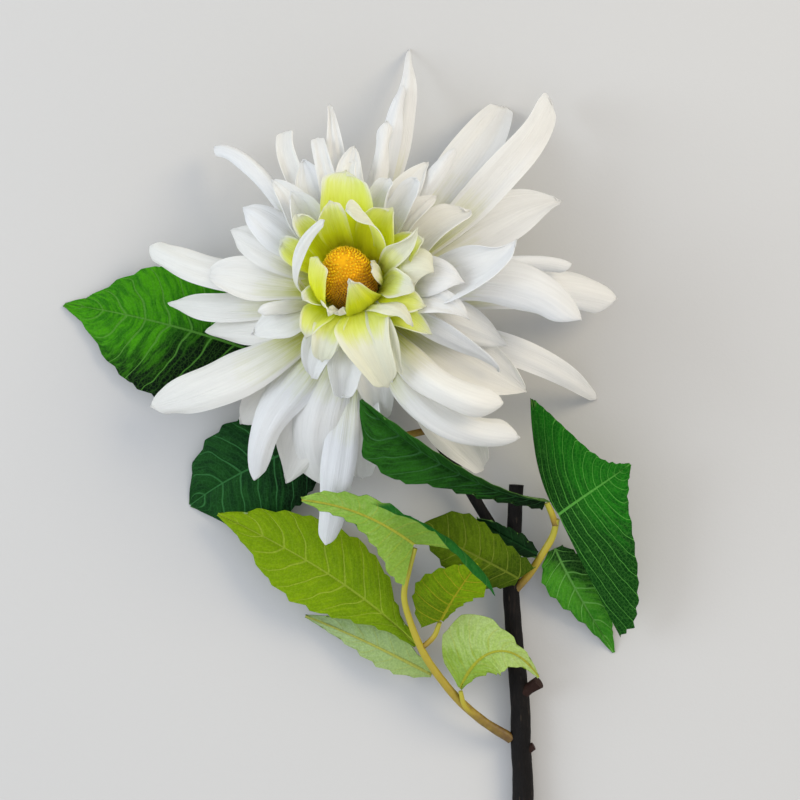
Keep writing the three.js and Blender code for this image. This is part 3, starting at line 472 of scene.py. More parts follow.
# Leaves: each midrib is a curve with four control points from the stalk to the tip, and face is where
# the upper side looks. A half gives how far its edge stands off the midrib at seven even steps from
# the stalk, how it leans up, how it curls up further at the stalk's end and at the tip's end, and how
# far its foot is swept forward. A fold gives the share of the left half from which, near the stalk,
# the leaf shows its upper side where its curl turns that edge over.
LEAVES = {
    "left_leaf": {
        "midrib": [(-50, 16.6, 7), (-70, 24, 10), (-96, 30.5, 6), (-115.4, 33.1, 0.2)],
        "face": (0, 0, 1),
        "left": ([1, 16, 23, 26, 23.5, 17.5, 7.5], 8, (-20, -20), 0),
        "right": ([1, 14, 19.5, 21, 19.5, 13, 5], 8, (-20, -20), 0),
        "teeth": 9,
    },
    "lower_leaf": {
        "midrib": [(-25.4, -13.2, 7), (-40, -18, 9), (-58, -25, 7), (-72.2, -36.2, 0.2)],
        "face": (0, 0, 1),
        "left": ([1, 13, 18, 20, 20, 18.5, 15], 6, (-18, -18), 0),
        "right": ([1, 12, 16, 18, 18, 16, 11], 6, (-18, -18), 0),
        "teeth": 8,
    },
    "spray_leaf_long": {
        "midrib": [(5.6, -83.2, 14), (-12, -65, 13), (-36, -51, 12.5), (-62.1, -38.9, 9.6)],
        "face": (0.1, -0.1, 1),
        "left": ([1, 4, 9, 13.5, 15, 12.5, 5.5], 6, (-14, -14), 0),
        "right": ([1, 4, 12, 16, 16, 13.5, 8.5], 6, (-14, -14), 0),
        "teeth": 10,
    },
    "spray_leaf_pale": {
        "midrib": [(10.8, -93.4, 12.4), (-4, -86, 9), (-16, -80, 7), (-32.4, -74, 6)],
        "face": (0.1, 0.1, -1),
        "left": ([1, 5, 7.5, 8, 7.5, 6, 3], 4, (-10, -10), 0),
        "right": ([1, 5, 6.5, 6.5, 5, 3.5, 2], 4, (-10, -10), 0),
        "teeth": 7,
    },
    "spray_leaf_end": {
        "midrib": [(4.6, -48.2, 26.8), (-5, -41, 28.6), (-18, -34, 35), (-32.5, -33.2, 37)],
        "face": (0, 0, -1),
        "left": ([20, 22, 17, 10, 8, 6, 4], 0, (-160, -20), -30),
        "right": ([14, 14, 10, 7, 4.5, 3.5, 3], 0, (-10, -10), -6),
        "teeth": 9,
        "fold": 0.56,
    },
    "spray_leaf_olive": {
        "midrib": [(13.8, -74.2, 20.6), (17, -68, 22), (21, -62, 22.6), (26, -55, 22.5)],
        "face": (-0.1, -0.1, 1),
        "left": ([5, 10.5, 13.5, 14, 12, 9, 5], 6, (-20, -20), -6),
        "right": ([1, 2, 3, 4.5, 6.5, 9, 6], 6, (-10, -10), 0),
        "teeth": 7,
    },
    "spray_leaf_near": {
        "midrib": [(20.6, -97.8, 15), (25.5, -84, 19), (37, -79, 19), (47, -93.9, 15.6)],
        "face": (0.1, -0.1, -1),
        "left": ([1, 4, 6.5, 8.5, 8.5, 6, 2.5], 4, (-14, -14), 0),
        "right": ([1, 12, 16, 16, 9, 4, 2.5], 4, (-30, -14), 0),
        "teeth": 7,
    },
    "side_leaf": {
        "midrib": [(40.3, -60.6, 14.2), (30, -54.6, 15.6), (18, -49, 17), (6.5, -42.5, 18)],
        "face": (0, 0, 1),
        "left": ([3, 7.5, 10, 11, 10, 8, 5], 6, (-16, -16), 0),
        "right": ([6.5, 8, 9, 10.5, 12, 12, 9], 10, (-8, -24), -3),
        "teeth": 7,
    },
    "right_leaf_broad": {
        "midrib": [(53.6, -38.9, 16.6), (61.3, -32.7, 20), (71, -26.5, 23), (77.2, -21.5, 24)],
        "face": (0, 0, 1),
        "left": ([37, 36, 30.5, 22.5, 13, 6.5, 3], 4, (-8, -8), 18),
        "right": ([46.5, 47, 41.4, 33, 22, 11, 4.5], -1, (-8, -8), -11.2),
        "teeth": 12,
    },
    "right_leaf_hanging": {
        "midrib": [(52.8, -50.6, 10.6), (57, -60, 9), (64.6, -73, 5), (73.6, -87, 0.2)],
        "face": (0, 0, 1),
        "left": ([3, 7, 10, 11, 10, 7, 4], 6, (-14, -14), 0),
        "right": ([3, 8, 9.8, 8.6, 6.5, 4, 2], 6, (-14, -14), 0),
        "teeth": 7,
    },
    "right_leaf_folded": {
        "midrib": [(49.1, -33.8, 17.2), (34, -33, 26), (8, -22, 42), (-12.8, 0, 53)],
        "face": (0, -0.2, 1),
        "left": ([4, 3.5, 4.4, 5.9, 8.1, 13.5, 13.5], 12, (-8, -8), 0),
        "right": ([3, 8, 8.5, 9, 9, 8.5, 6], 62, (6, 6), 0),
        "teeth": 10,
    },
    "right_leaf_narrow": {
        "midrib": [(46.7, -52.4, 12.2), (40, -49, 12.6), (33, -45, 12.8), (26, -40.6, 12.6)],
        "face": (0, 0, 1),
        "left": ([1, 3, 4, 4, 3.5, 3, 2], 6, (-10, -10), 0),
        "right": ([1, 3, 4, 4, 3.5, 3, 2], 6, (-10, -10), 0),
        "teeth": 5,
    },
}
TOOTH_DEPTH = 1.2
TOOTH_PEAK = 0.72
LEAF_TIP = 0.35
VEIN_RUN = 0.16  # how far towards the tip a side vein runs on its way to the edge, as a share


def leaf(shape, seed, row):
    midrib = [np.array(p, float) for p in row["midrib"]]
    teeth = row["teeth"]
    chord = unit(midrib[3] - midrib[0])

    def form(t, way, out):
        lengths, leans, curls, sweeps = [], [], [], []
        for reach, lean, curl, sweep in (row["left"], row["right"]):
            knots = [*reach, LEAF_TIP]
            lengths.append(np.interp(t * 7, range(8), knots))
            leans.append(math.radians(lean) + 0 * t)
            turn = curl[0] + (curl[1] - curl[0]) * smoothstep(t, 0.1, 0.7)
            curls.append(np.radians(turn))
            sweeps.append(sweep * (1 - t) ** 2)
        pick = [np.where(way > 0, a, b) for a, b in (lengths, leans, curls, sweeps)]
        edge = pick[0]
        step = (t * teeth) % 1
        tooth = np.where(step < TOOTH_PEAK, step / TOOTH_PEAK, (1 - step) / (1 - TOOTH_PEAK))
        cut = np.minimum(TOOTH_DEPTH, 0.2 * edge) * (1 - tooth) * smoothstep(t, 0, 0.02)
        pick[0] = edge - cut * smoothstep(out, 0.75, 1)
        return pick

    def relief(t, share):
        out = np.abs(share)
        vein = (t - VEIN_RUN * out**1.2) * teeth
        panel = np.abs(np.sin(math.pi * vein)) ** 0.6
        quilt = 0.2 * (panel - 0.6) * smoothstep(out, 0.02, 0.25) * (1 - 0.7 * smoothstep(out, 0.7, 1))
        crease = -0.5 * np.exp(-((out / 0.05) ** 2))
        wave = 0.8 * out**2 * ripple(seed, t * 5, share * 2, 1.0)
        return (quilt + crease) * smoothstep(1 - t, 0, 0.1) + wave

    blade(
        shape,
        midrib,
        unit(np.cross(row["face"], chord)),
        0.0,
        np.linspace(0, 1, teeth * 11 + 1),
        np.sin(np.linspace(-1, 1, 33) * math.pi / 2 * 0.85) / math.sin(math.pi / 2 * 0.85),
        form,
        relief,
        LEAF_THICKNESS,
    )


class Paint:
    """A material made of nodes, written as short calls."""

    def __init__(self, name):
        self.material = bpy.data.materials.new(name)
        self.material.use_nodes = True
        self.tree = self.material.node_tree
        self.tree.nodes.clear()

    def node(self, kind, inputs=(), **settings):
        made = self.tree.nodes.new(kind)
        for name, value in settings.items():
            setattr(made, name, value)
        for name, value in dict(inputs).items():
            self.put(made.inputs[name], value)
        return made

    def put(self, socket, value):
        if isinstance(value, bpy.types.NodeSocket):
            self.tree.links.new(value, socket)
        elif isinstance(value, tuple) and len(value) == 3 and socket.type == "RGBA":
            socket.default_value = (*value, 1)
        else:
            socket.default_value = value

    def layer(self, name):
        return self.node("ShaderNodeAttribute", attribute_name=name).outputs["Fac"]

    def place(self):
        return self.node("ShaderNodeTexCoord").outputs["Object"]

    def sum(self, operation, *values):
        made = self.node("ShaderNodeMath", operation=operation)
        for socket, value in zip(made.inputs, values):
            self.put(socket, value)
        return made.outputs[0]

    def vector(self, *parts):
        made = self.node("ShaderNodeCombineXYZ")
        for socket, value in zip(made.inputs, parts):
            self.put(socket, value)
        return made.outputs[0]

    def ease(self, value, low, high, start=0.0, end=1.0):
        inputs = {"Value": value, "From Min": low, "From Max": high, "To Min": start, "To Max": end}
        made = self.node("ShaderNodeMapRange", inputs, interpolation_type="SMOOTHSTEP")
        return made.outputs[0]

    def noise(self, where, scale, detail=3.0, roughness=0.55):
        inputs = {"Vector": where, "Scale": scale, "Detail": detail, "Roughness": roughness}
        return self.node("ShaderNodeTexNoise", inputs).outputs[0]

    def blend(self, share, first, second, kind="MIX"):
        made = self.node("ShaderNodeMix", data_type="RGBA", blend_type=kind)
        self.put(made.inputs[0], share)
        self.put(made.inputs[6], first)
        self.put(made.inputs[7], second)
        return made.outputs[2]

    def ramp(self, value, stops):
        made = self.node("ShaderNodeValToRGB", {"Fac": value})
        elements = made.color_ramp.elements
        for place, colour in stops[2:]:
            elements.new(place)
        for element, (place, colour) in zip(elements, stops):
            element.position = place
            element.color = (*colour, 1)
        return made.outputs[0]

    def bump(self, height, distance, strength=1.0):
        inputs = {"Height": height, "Distance": distance, "Strength": strength}
        return self.node("ShaderNodeBump", inputs).outputs[0]

    def finish(self, colour, normal, glow=0.0, glow_colour=None, **uniform):
        surface = self.node("ShaderNodeBsdfPrincipled", {"Base Color": colour, "Normal": normal})
        for name, value in uniform.items():
            self.put(surface.inputs[name.replace("_", " ")], value)
        shader = surface.outputs[0]
        if glow:
            through = self.node("ShaderNodeBsdfTranslucent", {"Color": glow_colour, "Normal": normal})
            mixed = self.node("ShaderNodeMixShader", {0: glow, 1: shader, 2: through.outputs[0]})
            shader = mixed.outputs[0]
        self.node("ShaderNodeOutputMaterial", {"Surface": shader})
        return self.material


def petal_material(name, stops, glow):
    """Thin cloth petals: lime at the root and white beyond, with fine lines along them."""
    paint = Paint(name)
    along, width, tint, pale = [paint.layer(n) for n in ("along", "across", "tint", "pale")]
    lines_across = paint.sum("MULTIPLY", width, 9.0)
    lines_down = paint.sum("MULTIPLY", along, 2.5)
    lines_at = paint.vector(lines_across, lines_down, paint.sum("MULTIPLY", tint, 40.0))
    lines = paint.noise(lines_at, 1.6, 2.0)
    cloud = paint.noise(paint.place(), 90.0, 2.0)
    wander = paint.sum("MULTIPLY", paint.sum("SUBTRACT", paint.sum("ADD", lines, cloud), 1.0), 0.22)
    rim = paint.ease(paint.sum("ABSOLUTE", width), 0.7, 1.0, 0.0, 0.22)
    share = paint.sum("ADD", paint.sum("ADD", along, wander), paint.sum("ADD", pale, rim))
    colour = paint.ramp(share, stops)
    # Painted shade: the fine lines darken the colour a little where they sink into grooves.
    shade = paint.ease(lines, 0.3, 0.7, 0.955, 1.0)
    colour = paint.blend(1.0, colour, paint.vector(shade, shade, shade), "MULTIPLY")
    cast = paint.ramp(tint, [(0.0, (1.0, 0.99, 0.96)), (1.0, (0.97, 0.98, 1.0))])
    colour = paint.blend(1.0, colour, cast, "MULTIPLY")
    weave = paint.noise(paint.place(), 2600.0, 1.0)
    height = paint.sum("ADD", lines, paint.sum("MULTIPLY", weave, 0.12))
    normal = paint.bump(height, 0.0004, 0.55)
    return paint.finish(
        colour, normal, glow, colour, Roughness=0.62, Specular_IOR_Level=0.3, Sheen_Weight=0.12
    )


def leaf_material(name, upper, lower, teeth, fold):
    """A cloth leaf with a printed net of veins. upper and lower each give the colours of the body,
    its patches, the painted shade at its foot and its veins. A leaf with a fold shows its upper side
    also on its left edge near the stalk, from that share of the half outwards."""
    paint = Paint(name)
    along, width, face, far = [paint.layer(n) for n in ("along", "across", "upper", "far")]
    if fold:
        folded = paint.ease(width, fold, fold + 0.04)
        near_stalk = paint.ease(along, 0.5, 0.58, 1.0, 0.0)
        face = paint.sum("MAXIMUM", face, paint.sum("MULTIPLY", folded, near_stalk))
    place = paint.place()
    out = paint.sum("ABSOLUTE", width)
    wobble = paint.sum("MULTIPLY", paint.sum("SUBTRACT", paint.noise(place, 110.0, 1.0), 0.5), 0.5)
    run = paint.sum("MULTIPLY", paint.sum("POWER", out, 1.2), VEIN_RUN)
    count = paint.sum("MULTIPLY", paint.sum("SUBTRACT", along, run), float(teeth))
    phase = paint.sum("ADD", count, wobble)
    away = paint.sum("PINGPONG", phase, 0.5)
    thin = paint.ease(out, 0.0, 1.0, 0.075, 0.035)
    side_vein = paint.ease(paint.sum("DIVIDE", away, thin), 0.35, 1.0, 1.0, 0.0)
    between = paint.sum("PINGPONG", paint.sum("MULTIPLY", phase, 3.0), 0.5)
    fine = paint.sum("SUBTRACT", 1.0, paint.sum("MINIMUM", paint.sum("DIVIDE", between, 0.11), 1.0))
    rib_width = paint.ease(along, 0.0, 1.0, 0.62, 0.3)
    rib = paint.ease(paint.sum("DIVIDE", far, rib_width), 0.5, 1.0, 1.0, 0.0)
    net_inputs = {"Vector": place, "Scale": 800.0}
    net = paint.node("ShaderNodeTexVoronoi", net_inputs, feature="DISTANCE_TO_EDGE").outputs[0]
    net = paint.ease(net, 0.0, 0.09, 1.0, 0.0)
    side_vein = paint.sum("MULTIPLY", side_vein, paint.ease(face, 0.0, 1.0, 0.3, 0.9))
    strong = paint.sum("MAXIMUM", side_vein, rib)
    faint = paint.sum("MULTIPLY", paint.sum("MAXIMUM", net, fine), paint.ease(face, 0.0, 1.0, 0.08, 0.22))
    veins = paint.sum("MAXIMUM", paint.sum("MULTIPLY", strong, 0.9), faint)
    streak_at = paint.vector(paint.sum("MULTIPLY", phase, 2.0), out, paint.sum("MULTIPLY", width, 0.8))
    streaks = paint.noise(streak_at, 2.2, 3.0, 0.6)
    clouds = paint.noise(place, 42.0, 3.0)
    patches = paint.sum("ADD", paint.sum("MULTIPLY", streaks, 0.6), paint.sum("MULTIPLY", clouds, 0.4))
    patches = paint.ease(patches, 0.4, 0.6)
    from_shaded_foot = paint.sum("ADD", along, paint.sum("MULTIPLY", patches, 0.15))

    # The foot colour is painted shade: each side darkens towards its stalk end, where the leaf lies in the
    # shade of the bloom and of the leaves over it, slanting towards the tip on the left half.
    def side(body, patch, dark, vein, foot_shade_strength, slant):
        colour = paint.blend(patches, body, patch)
        reached = paint.sum("SUBTRACT", from_shaded_foot, paint.sum("MULTIPLY", width, slant))
        foot = paint.ease(reached, 0.2, 0.6, 1.0, 0.0)
        colour = paint.blend(paint.sum("MULTIPLY", foot, foot_shade_strength), colour, dark)
        return paint.blend(veins, colour, vein)

    colour = paint.blend(face, side(*lower), side(*upper))
    grain = paint.ease(paint.noise(place, 1500.0, 2.0), 0.3, 0.7, 0.88, 1.1)
    colour = paint.blend(1.0, colour, paint.vector(grain, grain, grain), "MULTIPLY")
    weave = paint.noise(place, 3200.0, 1.0)
    raised = paint.sum("MULTIPLY", veins, paint.ease(face, 0.0, 1.0, 1.0, -0.6))
    height = paint.sum("ADD", raised, paint.sum("MULTIPLY", weave, 0.15))
    normal = paint.bump(height, 0.0003, 0.8)
    through = paint.blend(0.5, colour, (0.12, 0.24, 0.01))
    return paint.finish(colour, normal, 0.1, through, Roughness=0.6, Specular_IOR_Level=0.06)


WHITE_STOPS = [
    (0.0, (0.6, 0.64, 0.04)),
    (0.14, (0.7, 0.73, 0.18)),
    (0.3, (0.86, 0.86, 0.71)),
    (0.46, (0.905, 0.9, 0.88)),
]
LIME_STOPS = [
    (0.0, (0.86, 0.88, 0.003)),
    (0.45, (0.88, 0.93, 0.02)),
    (0.8, (0.86, 0.9, 0.3)),
    (1.0, (0.88, 0.88, 0.76)),
]
HEAD_PROFILE = [
    (0, -CORE_DEPTH),
    (6, -CORE_DEPTH),
    (9.5, -16),
    (11.5, -13),
    (13, -6),
    (12, -2.3),
    (0, -2.3),
]
COLLAR_PROFILE = [
    (0, -2),
    (COLLAR_RADIUS - 0.6, -2),
    (COLLAR_RADIUS, 0.6),
    (10.2, 0.6),
    (10.2, -1.2),
    (0, -1.2),
]

bloom = Shape()
core(bloom, HEAD_PROFILE, 48, tint=0.5)
for index, row in enumerate(OUTER_PETALS):
    petal(bloom, 100 + index, OUTER_LAYER, Petal(*row))
for index, row in enumerate(MIDDLE_PETALS):
    petal(bloom, 200 + index, MIDDLE_LAYER, Petal(*row))
white = petal_material("white cloth", WHITE_STOPS, 0.45)
bloom.make("white_cloth_petals", "white_petals", white)

heart = Shape()
core(heart, COLLAR_PROFILE, 48, tint=0.5)
for index, row in enumerate(LIME_PETALS):
    petal(heart, 300 + index, LIME_LAYER, Petal(*row))
lime = petal_material("lime cloth", LIME_STOPS, 0.5)
heart.make("lime_cloth_petals", "lime_petals", lime)


FLORETS = 900
FLORET_LIFT = 0.9
FLORET_SIDES = 7
# From its foot up: how wide a floret is there, and how high, as shares; then how bright.
FLORET_PROFILE = [(0.8, -0.2, 0), (1.0, 0.35, 0), (0.85, 0.8, 0.4), (0.55, 1.0, 1), (0.2, 0.86, 0.3)]
DOME_RINGS = 13
DOME_SEGMENTS = 40
GOLDEN_ANGLE = math.pi * (3 - math.sqrt(5))


def dome_spot(slope, azimuth, lift):
    radius = (DISC_RADIUS - FLORET_LIFT + lift) * math.cos(slope) ** 0.6
    height = (DISC_HEIGHT - FLORET_LIFT + lift) * math.sin(slope)
    return bloom_point(azimuth, radius, height) + beyond * DISC_LEAN * math.sin(slope) ** 2


def dome(shape):
    """The smooth dome that the florets stand on, sunk into the head at its foot."""
    rings = []
    for slope in np.linspace(0, math.pi / 2, DOME_RINGS + 1)[:-1]:
        sink = axis * (FLORET_LIFT if slope == 0 else 0)
        angles = [2 * math.pi * k / DOME_SEGMENTS for k in range(DOME_SEGMENTS)]
        rings.append([dome_spot(slope, angle, 0) - sink for angle in angles])
    foot, top = BLOOM_CENTRE - axis * FLORET_LIFT, dome_spot(math.pi / 2, 0, 0)
    turned(shape, foot, rings, top, along=0.5, tint=0.6)


def floret(shape, index, random):
    """A small bud on the dome. They follow one spiral, and those low on the right are browner: partly
    brown anthers, partly painted shade on the dome's side away from the lamp.
    """
    slope = math.asin(0.03 + 0.9695 * (index + 0.5) / FLORETS)
    azimuth = index * GOLDEN_ANGLE
    spot = dome_spot(slope, azimuth, 0)
    rise = unit(dome_spot(slope, azimuth, 1.0) - spot)
    aside = unit(np.cross(rise, axis + 0.01 * across))
    other = np.cross(rise, aside)
    tall = random.uniform(0.6, 0.95)
    wide = random.uniform(0.27, 0.36)
    lean = 0.18 * (aside * random.normal() + other * random.normal())
    points, faces = [], []
    for spread, lift, _ in FLORET_PROFILE:
        middle = spot + (rise + lean * max(lift, 0)) * lift * tall
        for a in range(FLORET_SIDES):
            angle = 2 * math.pi * a / FLORET_SIDES
            points.append(middle + (aside * math.cos(angle) + other * math.sin(angle)) * wide * spread)
    top = len(points) - FLORET_SIDES
    for under in range(0, top, FLORET_SIDES):
        over = under + FLORET_SIDES
        for a in range(FLORET_SIDES):
            b = (a + 1) % FLORET_SIDES
            faces.append([under + a, under + b, over + b, over + a])
    faces.append([top + a for a in range(FLORET_SIDES)])
    faces.append(list(reversed(range(FLORET_SIDES))))
    # Low on the right the florets turn brown: brown anthers, with painted shade on the side away from the
    # lamp.
    brown_and_shaded_flank = math.cos(slope) * (0.35 * math.cos(azimuth) - 0.9 * math.sin(azimuth))
    shape.add(
        np.array(points),
        faces,
        along=1.0 - 0.95 * smoothstep(brown_and_shaded_flank, 0.05, 0.75),
        tint=random.uniform(0, 1),
        upper=np.repeat([float(bright) for _, _, bright in FLORET_PROFILE], FLORET_SIDES),
    )


def disc_material():
    """Golden florets with bright tops, over a brown ground."""
    paint = Paint("disc florets")
    along, tint, tops = [paint.layer(n) for n in ("along", "tint", "upper")]
    warm = paint.noise(paint.place(), 260.0, 2.0)
    share = paint.sum("ADD", along, paint.sum("MULTIPLY", paint.sum("SUBTRACT", warm, 0.5), 0.5))
    colour = paint.ramp(
        share,
        [
            (0.0, (0.26, 0.085, 0.008)),
            (0.3, (0.5, 0.2, 0.005)),
            (0.55, (0.84, 0.43, 0.004)),
            (1.0, (0.95, 0.62, 0.006)),
        ],
    )
    shade = paint.ease(tint, 0.0, 1.0, 0.75, 1.12)
    colour = paint.blend(1.0, colour, paint.vector(shade, shade, shade), "MULTIPLY")
    colour = paint.blend(paint.sum("MULTIPLY", tops, 0.3), colour, (1.0, 0.66, 0.01))
    normal = paint.bump(paint.noise(paint.place(), 4000.0, 2.0), 0.0002, 0.8)
    return paint.finish(colour, normal, Roughness=0.8, Specular_IOR_Level=0.1, Sheen_Weight=0.1)


disc = Shape()
dome(disc)
random = np.random.default_rng(7)
for index in range(FLORETS):
    floret(disc, index, random)
disc.make("disc_florets", "disc", disc_material())


def calyx_material():
    paint = Paint("calyx green")
    along = paint.layer("along")
    streaks = paint.noise(paint.place(), 300.0, 3.0)
    share = paint.sum("ADD", paint.sum("MULTIPLY", along, 0.7), paint.sum("MULTIPLY", streaks, 0.3))
    stops = [(0.0, (0.13, 0.22, 0.03)), (0.6, (0.24, 0.36, 0.07)), (1.0, (0.4, 0.5, 0.14))]
    colour = paint.ramp(share, stops)
    normal = paint.bump(paint.noise(paint.place(), 1200.0, 2.0), 0.0002, 0.7)
    return paint.finish(colour, normal, Roughness=0.6, Specular_IOR_Level=0.3)


BRACTS = 8
CUP_TOP = -CORE_DEPTH - 0.3
CUP_PROFILE = [
    (0, CUP_TOP - 6),
    (3.4, CUP_TOP - 6),
    (4.3, CUP_TOP - 4.4),
    (5.6, CUP_TOP - 2.4),
    (6.1, CUP_TOP - 1),
    (6.2, CUP_TOP),
    (0, CUP_TOP),
]
BRACT_WIDTH = 5.5


def bract(shape, azimuth):
    """A green leaflet under the bloom, which bends down at its tip."""
    reaches_and_drops = [(4, 2), (8, 1.8), (12, 2), (16, 4.5)]
    path = [bloom_point(azimuth, reach, CUP_TOP - drop) for reach, drop in reaches_and_drops]

    def form(t, way, out):
        past = np.clip((t - 0.55) / 0.45, 0, 1)
        ending = np.sqrt(1 - np.clip((t - 0.9) / 0.1, 0, 1) ** 2)
        length = BRACT_WIDTH / 2 * (0.6 + 0.4 * smoothstep(t, 0, 0.55)) * (1 - 0.8 * past**1.8)
        return length * np.maximum(ending, 0.05), 0 * t, math.radians(30) + 0 * t, 0 * t

    def grooves(t, share):
        return 0.12 * np.cos(3 * math.pi * share) * np.sin(math.pi * t)

    steps, shares = np.linspace(0, 1, 22), np.linspace(-1, 1, 11)
    sideways = outward(azimuth + math.pi / 2)
    blade(shape, path, sideways, 0.0, steps, shares, form, grooves, BRACT_THICKNESS)


cup = Shape()
core(cup, CUP_PROFILE, 40, along=0.3)
for index in range(BRACTS):
    bract(cup, index / BRACTS * 2 * math.pi)
cup.make("calyx_cup", "calyx", calyx_material())


def bark_material():
    """Dark woody bark with lengthwise wrinkles, small pale pores and bare brown ends."""
    paint = Paint("dark bark")
    place = paint.place()
    stretched = paint.node("ShaderNodeMapping", {"Vector": place, "Scale": (1.0, 0.25, 1.0)}).outputs[0]
    wrinkles = paint.noise(stretched, 900.0, 4.0, 0.65)
    broad = paint.noise(place, 120.0, 3.0)
    share = paint.sum("ADD", paint.sum("MULTIPLY", wrinkles, 0.6), paint.sum("MULTIPLY", broad, 0.4))
    colour = paint.ramp(
        share, [(0.3, (0.002, 0.0015, 0.0015)), (0.55, (0.005, 0.004, 0.0035)), (0.75, (0.02, 0.013, 0.01))]
    )
    colour = paint.blend(paint.layer("pale"), colour, (0.1, 0.035, 0.022))
    pores = paint.node("ShaderNodeTexVoronoi", {"Vector": stretched, "Scale": 420.0}).outputs[0]
    pores = paint.ease(pores, 0.05, 0.16, 1.0, 0.0)
    colour = paint.blend(paint.sum("MULTIPLY", pores, 0.14), colour, (0.16, 0.12, 0.08))
    height = paint.sum("ADD", wrinkles, paint.sum("MULTIPLY", pores, 0.3))
    normal = paint.bump(height, 0.0009, 0.8)
    return paint.finish(colour, normal, Roughness=0.6, Specular_IOR_Level=0.12)


STEM_PATH = [
    (44, -232, STEM_RADIUS),
    (43.5, -180, STEM_RADIUS),
    (42, -131, 4.4),
    (41, -103, 5),
    (38.7, -76, 6),
    (38.2, -64, 6.6),
    (39, -45, 7.4),
    (39.8, -29, 8),
]
FORK_PATH = [
    (38, -62, 6.6),
    (35, -50, 7.2),
    (27, -36, 7.4),
    (12, -12, 7),
    (-1, 9, 7.6),
    (-7.4, 21, 11),
    bloom_point(0, 0, -33),
    bloom_point(0, 0, -CORE_DEPTH - 6.6),
]
wood = Shape()
tube(wood, STEM_PATH, [4, 3.9, 3.8, 3.7, 3.4, 3.1, 2.7, 2.5], 28, 0.7, 0.045, 11)
tube(wood, FORK_PATH, [2, 1.9, 1.9, 2, 2, 2.1, 2.3, 2.6], 20, 0.7, 0.05, 12)
tube(wood, [(41, -101, 5), (44, -99, 6.6), (47.5, -96.5, 8.5)], [2.6, 2.0, 2.3], 18, 0.5, 0.08, 13, pale=0.2)
tube(wood, [(41.8, -121, 4.4), (45.9, -118.6, 5.2)], [2, 1.3], 14, 0.5, 0.08, 14, pale=0.2)
tube(wood, [(43.6, -186, 3.6), (38.6, -183, 5.4)], [2.2, 1.7], 14, 0.5, 0.08, 15, pale=0.5)
wood.make("woody_stem", "stem", bark_material())

STALKS = {
    "left_leafstalk": [([(-2, 10, 7.6), (-16, 10, 7), (-34, 13, 7), (-49.2, 16.4, 7)], [1.3, 1])],
    "lower_leafstalk": [([(11, -10, 7), (0, -12.4, 7.6), (-12, -13.6, 7.6), (-24.6, -13.2, 7)], [1.3, 1])],
    "spray_stalk": [
        (
            [(38, -116, 5), (27.6, -109, 9), (20, -102, 12), (12.6, -93, 14), (7.6, -85, 16)]
            + [(3.5, -75, 18.4), (1.4, -66, 21), (3, -57, 24.2), (5, -49.6, 26)],
            [1.9, 1.6, 1.5, 1.4, 1.3, 1.2, 1.1, 1, 0.9],
        ),
        ([(27.6, -109, 9), (22, -104, 13), (20.5, -98.8, 14.6)], [1, 0.8]),
        ([(7, -84.4, 16), (11.5, -80, 16.6), (13.4, -75, 19.1)], [1, 0.8]),
    ],
    "side_leafstalk": [([(38.8, -57.6, 10.6), (39.3, -59, 11.8), (39.8, -60.4, 13)], [1.2, 1])],
    "right_stalk": [
        (
            [(38.4, -66, 6.6), (44, -59.6, 9), (49, -51.5, 11.6), (52, -46, 13), (53.2, -40.4, 14.8)],
            [1.6, 1.4, 1.3, 1.2, 1],
        ),
        ([(52.8, -42.4, 14), (51.4, -38.4, 16), (49.7, -34.8, 17)], [1.2, 1]),
    ],
}


def stalk_material():
    """Smooth yellow stalks that turn brown where they leave the wood."""
    paint = Paint("yellow stalk")
    along = paint.layer("along")
    streaks = paint.noise(paint.place(), 500.0, 3.0)
    wander = paint.sum("MULTIPLY", paint.sum("SUBTRACT", streaks, 0.5), 0.3)
    colour = paint.ramp(
        paint.sum("ADD", along, wander),
        [
            (0.0, (0.1, 0.05, 0.012)),
            (0.28, (0.29, 0.2, 0.015)),
            (0.6, (0.37, 0.3, 0.018)),
            (1.0, (0.36, 0.34, 0.025)),
        ],
    )
    normal = paint.bump(streaks, 0.0002, 0.6)
    return paint.finish(colour, normal, Roughness=0.45, Specular_IOR_Level=0.4)


stalk_paint = stalk_material()
for index, (name, branches) in enumerate(STALKS.items()):
    stalks = Shape()
    for number, (path, radii) in enumerate(branches):
        tube(stalks, path, radii, 16, 0.7, 0.03, 40 + 7 * index + number)
    stalks.make("round_" + name, name, stalk_paint)

# Colours of a leaf's side: its body, its patches, its foot and its veins; then how strongly the foot
# shows, and how far it slants towards the tip on the left half. The foot colour is painted shade.
DARK = ((0.018, 0.14, 0.002), (0.05, 0.26, 0.002), (0.0005, 0.006, 0.001), (0.08, 0.24, 0.03), 1.0, 0.42)
# The lower leaf lies under the petals and spray leaves, so all its colours are darkened: painted shadow.
DARKEST_SHADOWED = (
    (0.003, 0.028, 0.005), (0.008, 0.056, 0.008), (0.001, 0.005, 0.0015), (0.035, 0.15, 0.04), 0.95, 0.1
)
SHADED = (
    (0.002, 0.014, 0.003), (0.004, 0.026, 0.005), (0.001, 0.005, 0.0015), (0.01, 0.05, 0.012), 0.6, 0.0
)
BROAD = ((0.004, 0.095, 0.003), (0.011, 0.15, 0.005), (0.003, 0.03, 0.003), (0.1, 0.34, 0.05), 0.85, -0.35)
HANGING = ((0.028, 0.18, 0.008), (0.055, 0.24, 0.012), (0.003, 0.025, 0.003), (0.14, 0.36, 0.07), 0.95, 0.4)
FOLDED = ((0.007, 0.05, 0.003), (0.018, 0.11, 0.007), (0.001, 0.006, 0.0012), (0.04, 0.14, 0.04), 0.95, 0.0)
UNDER = ((0.08, 0.19, 0.03), (0.1, 0.21, 0.05), (0.07, 0.15, 0.025), (0.17, 0.3, 0.1), 0.4, 0.0)
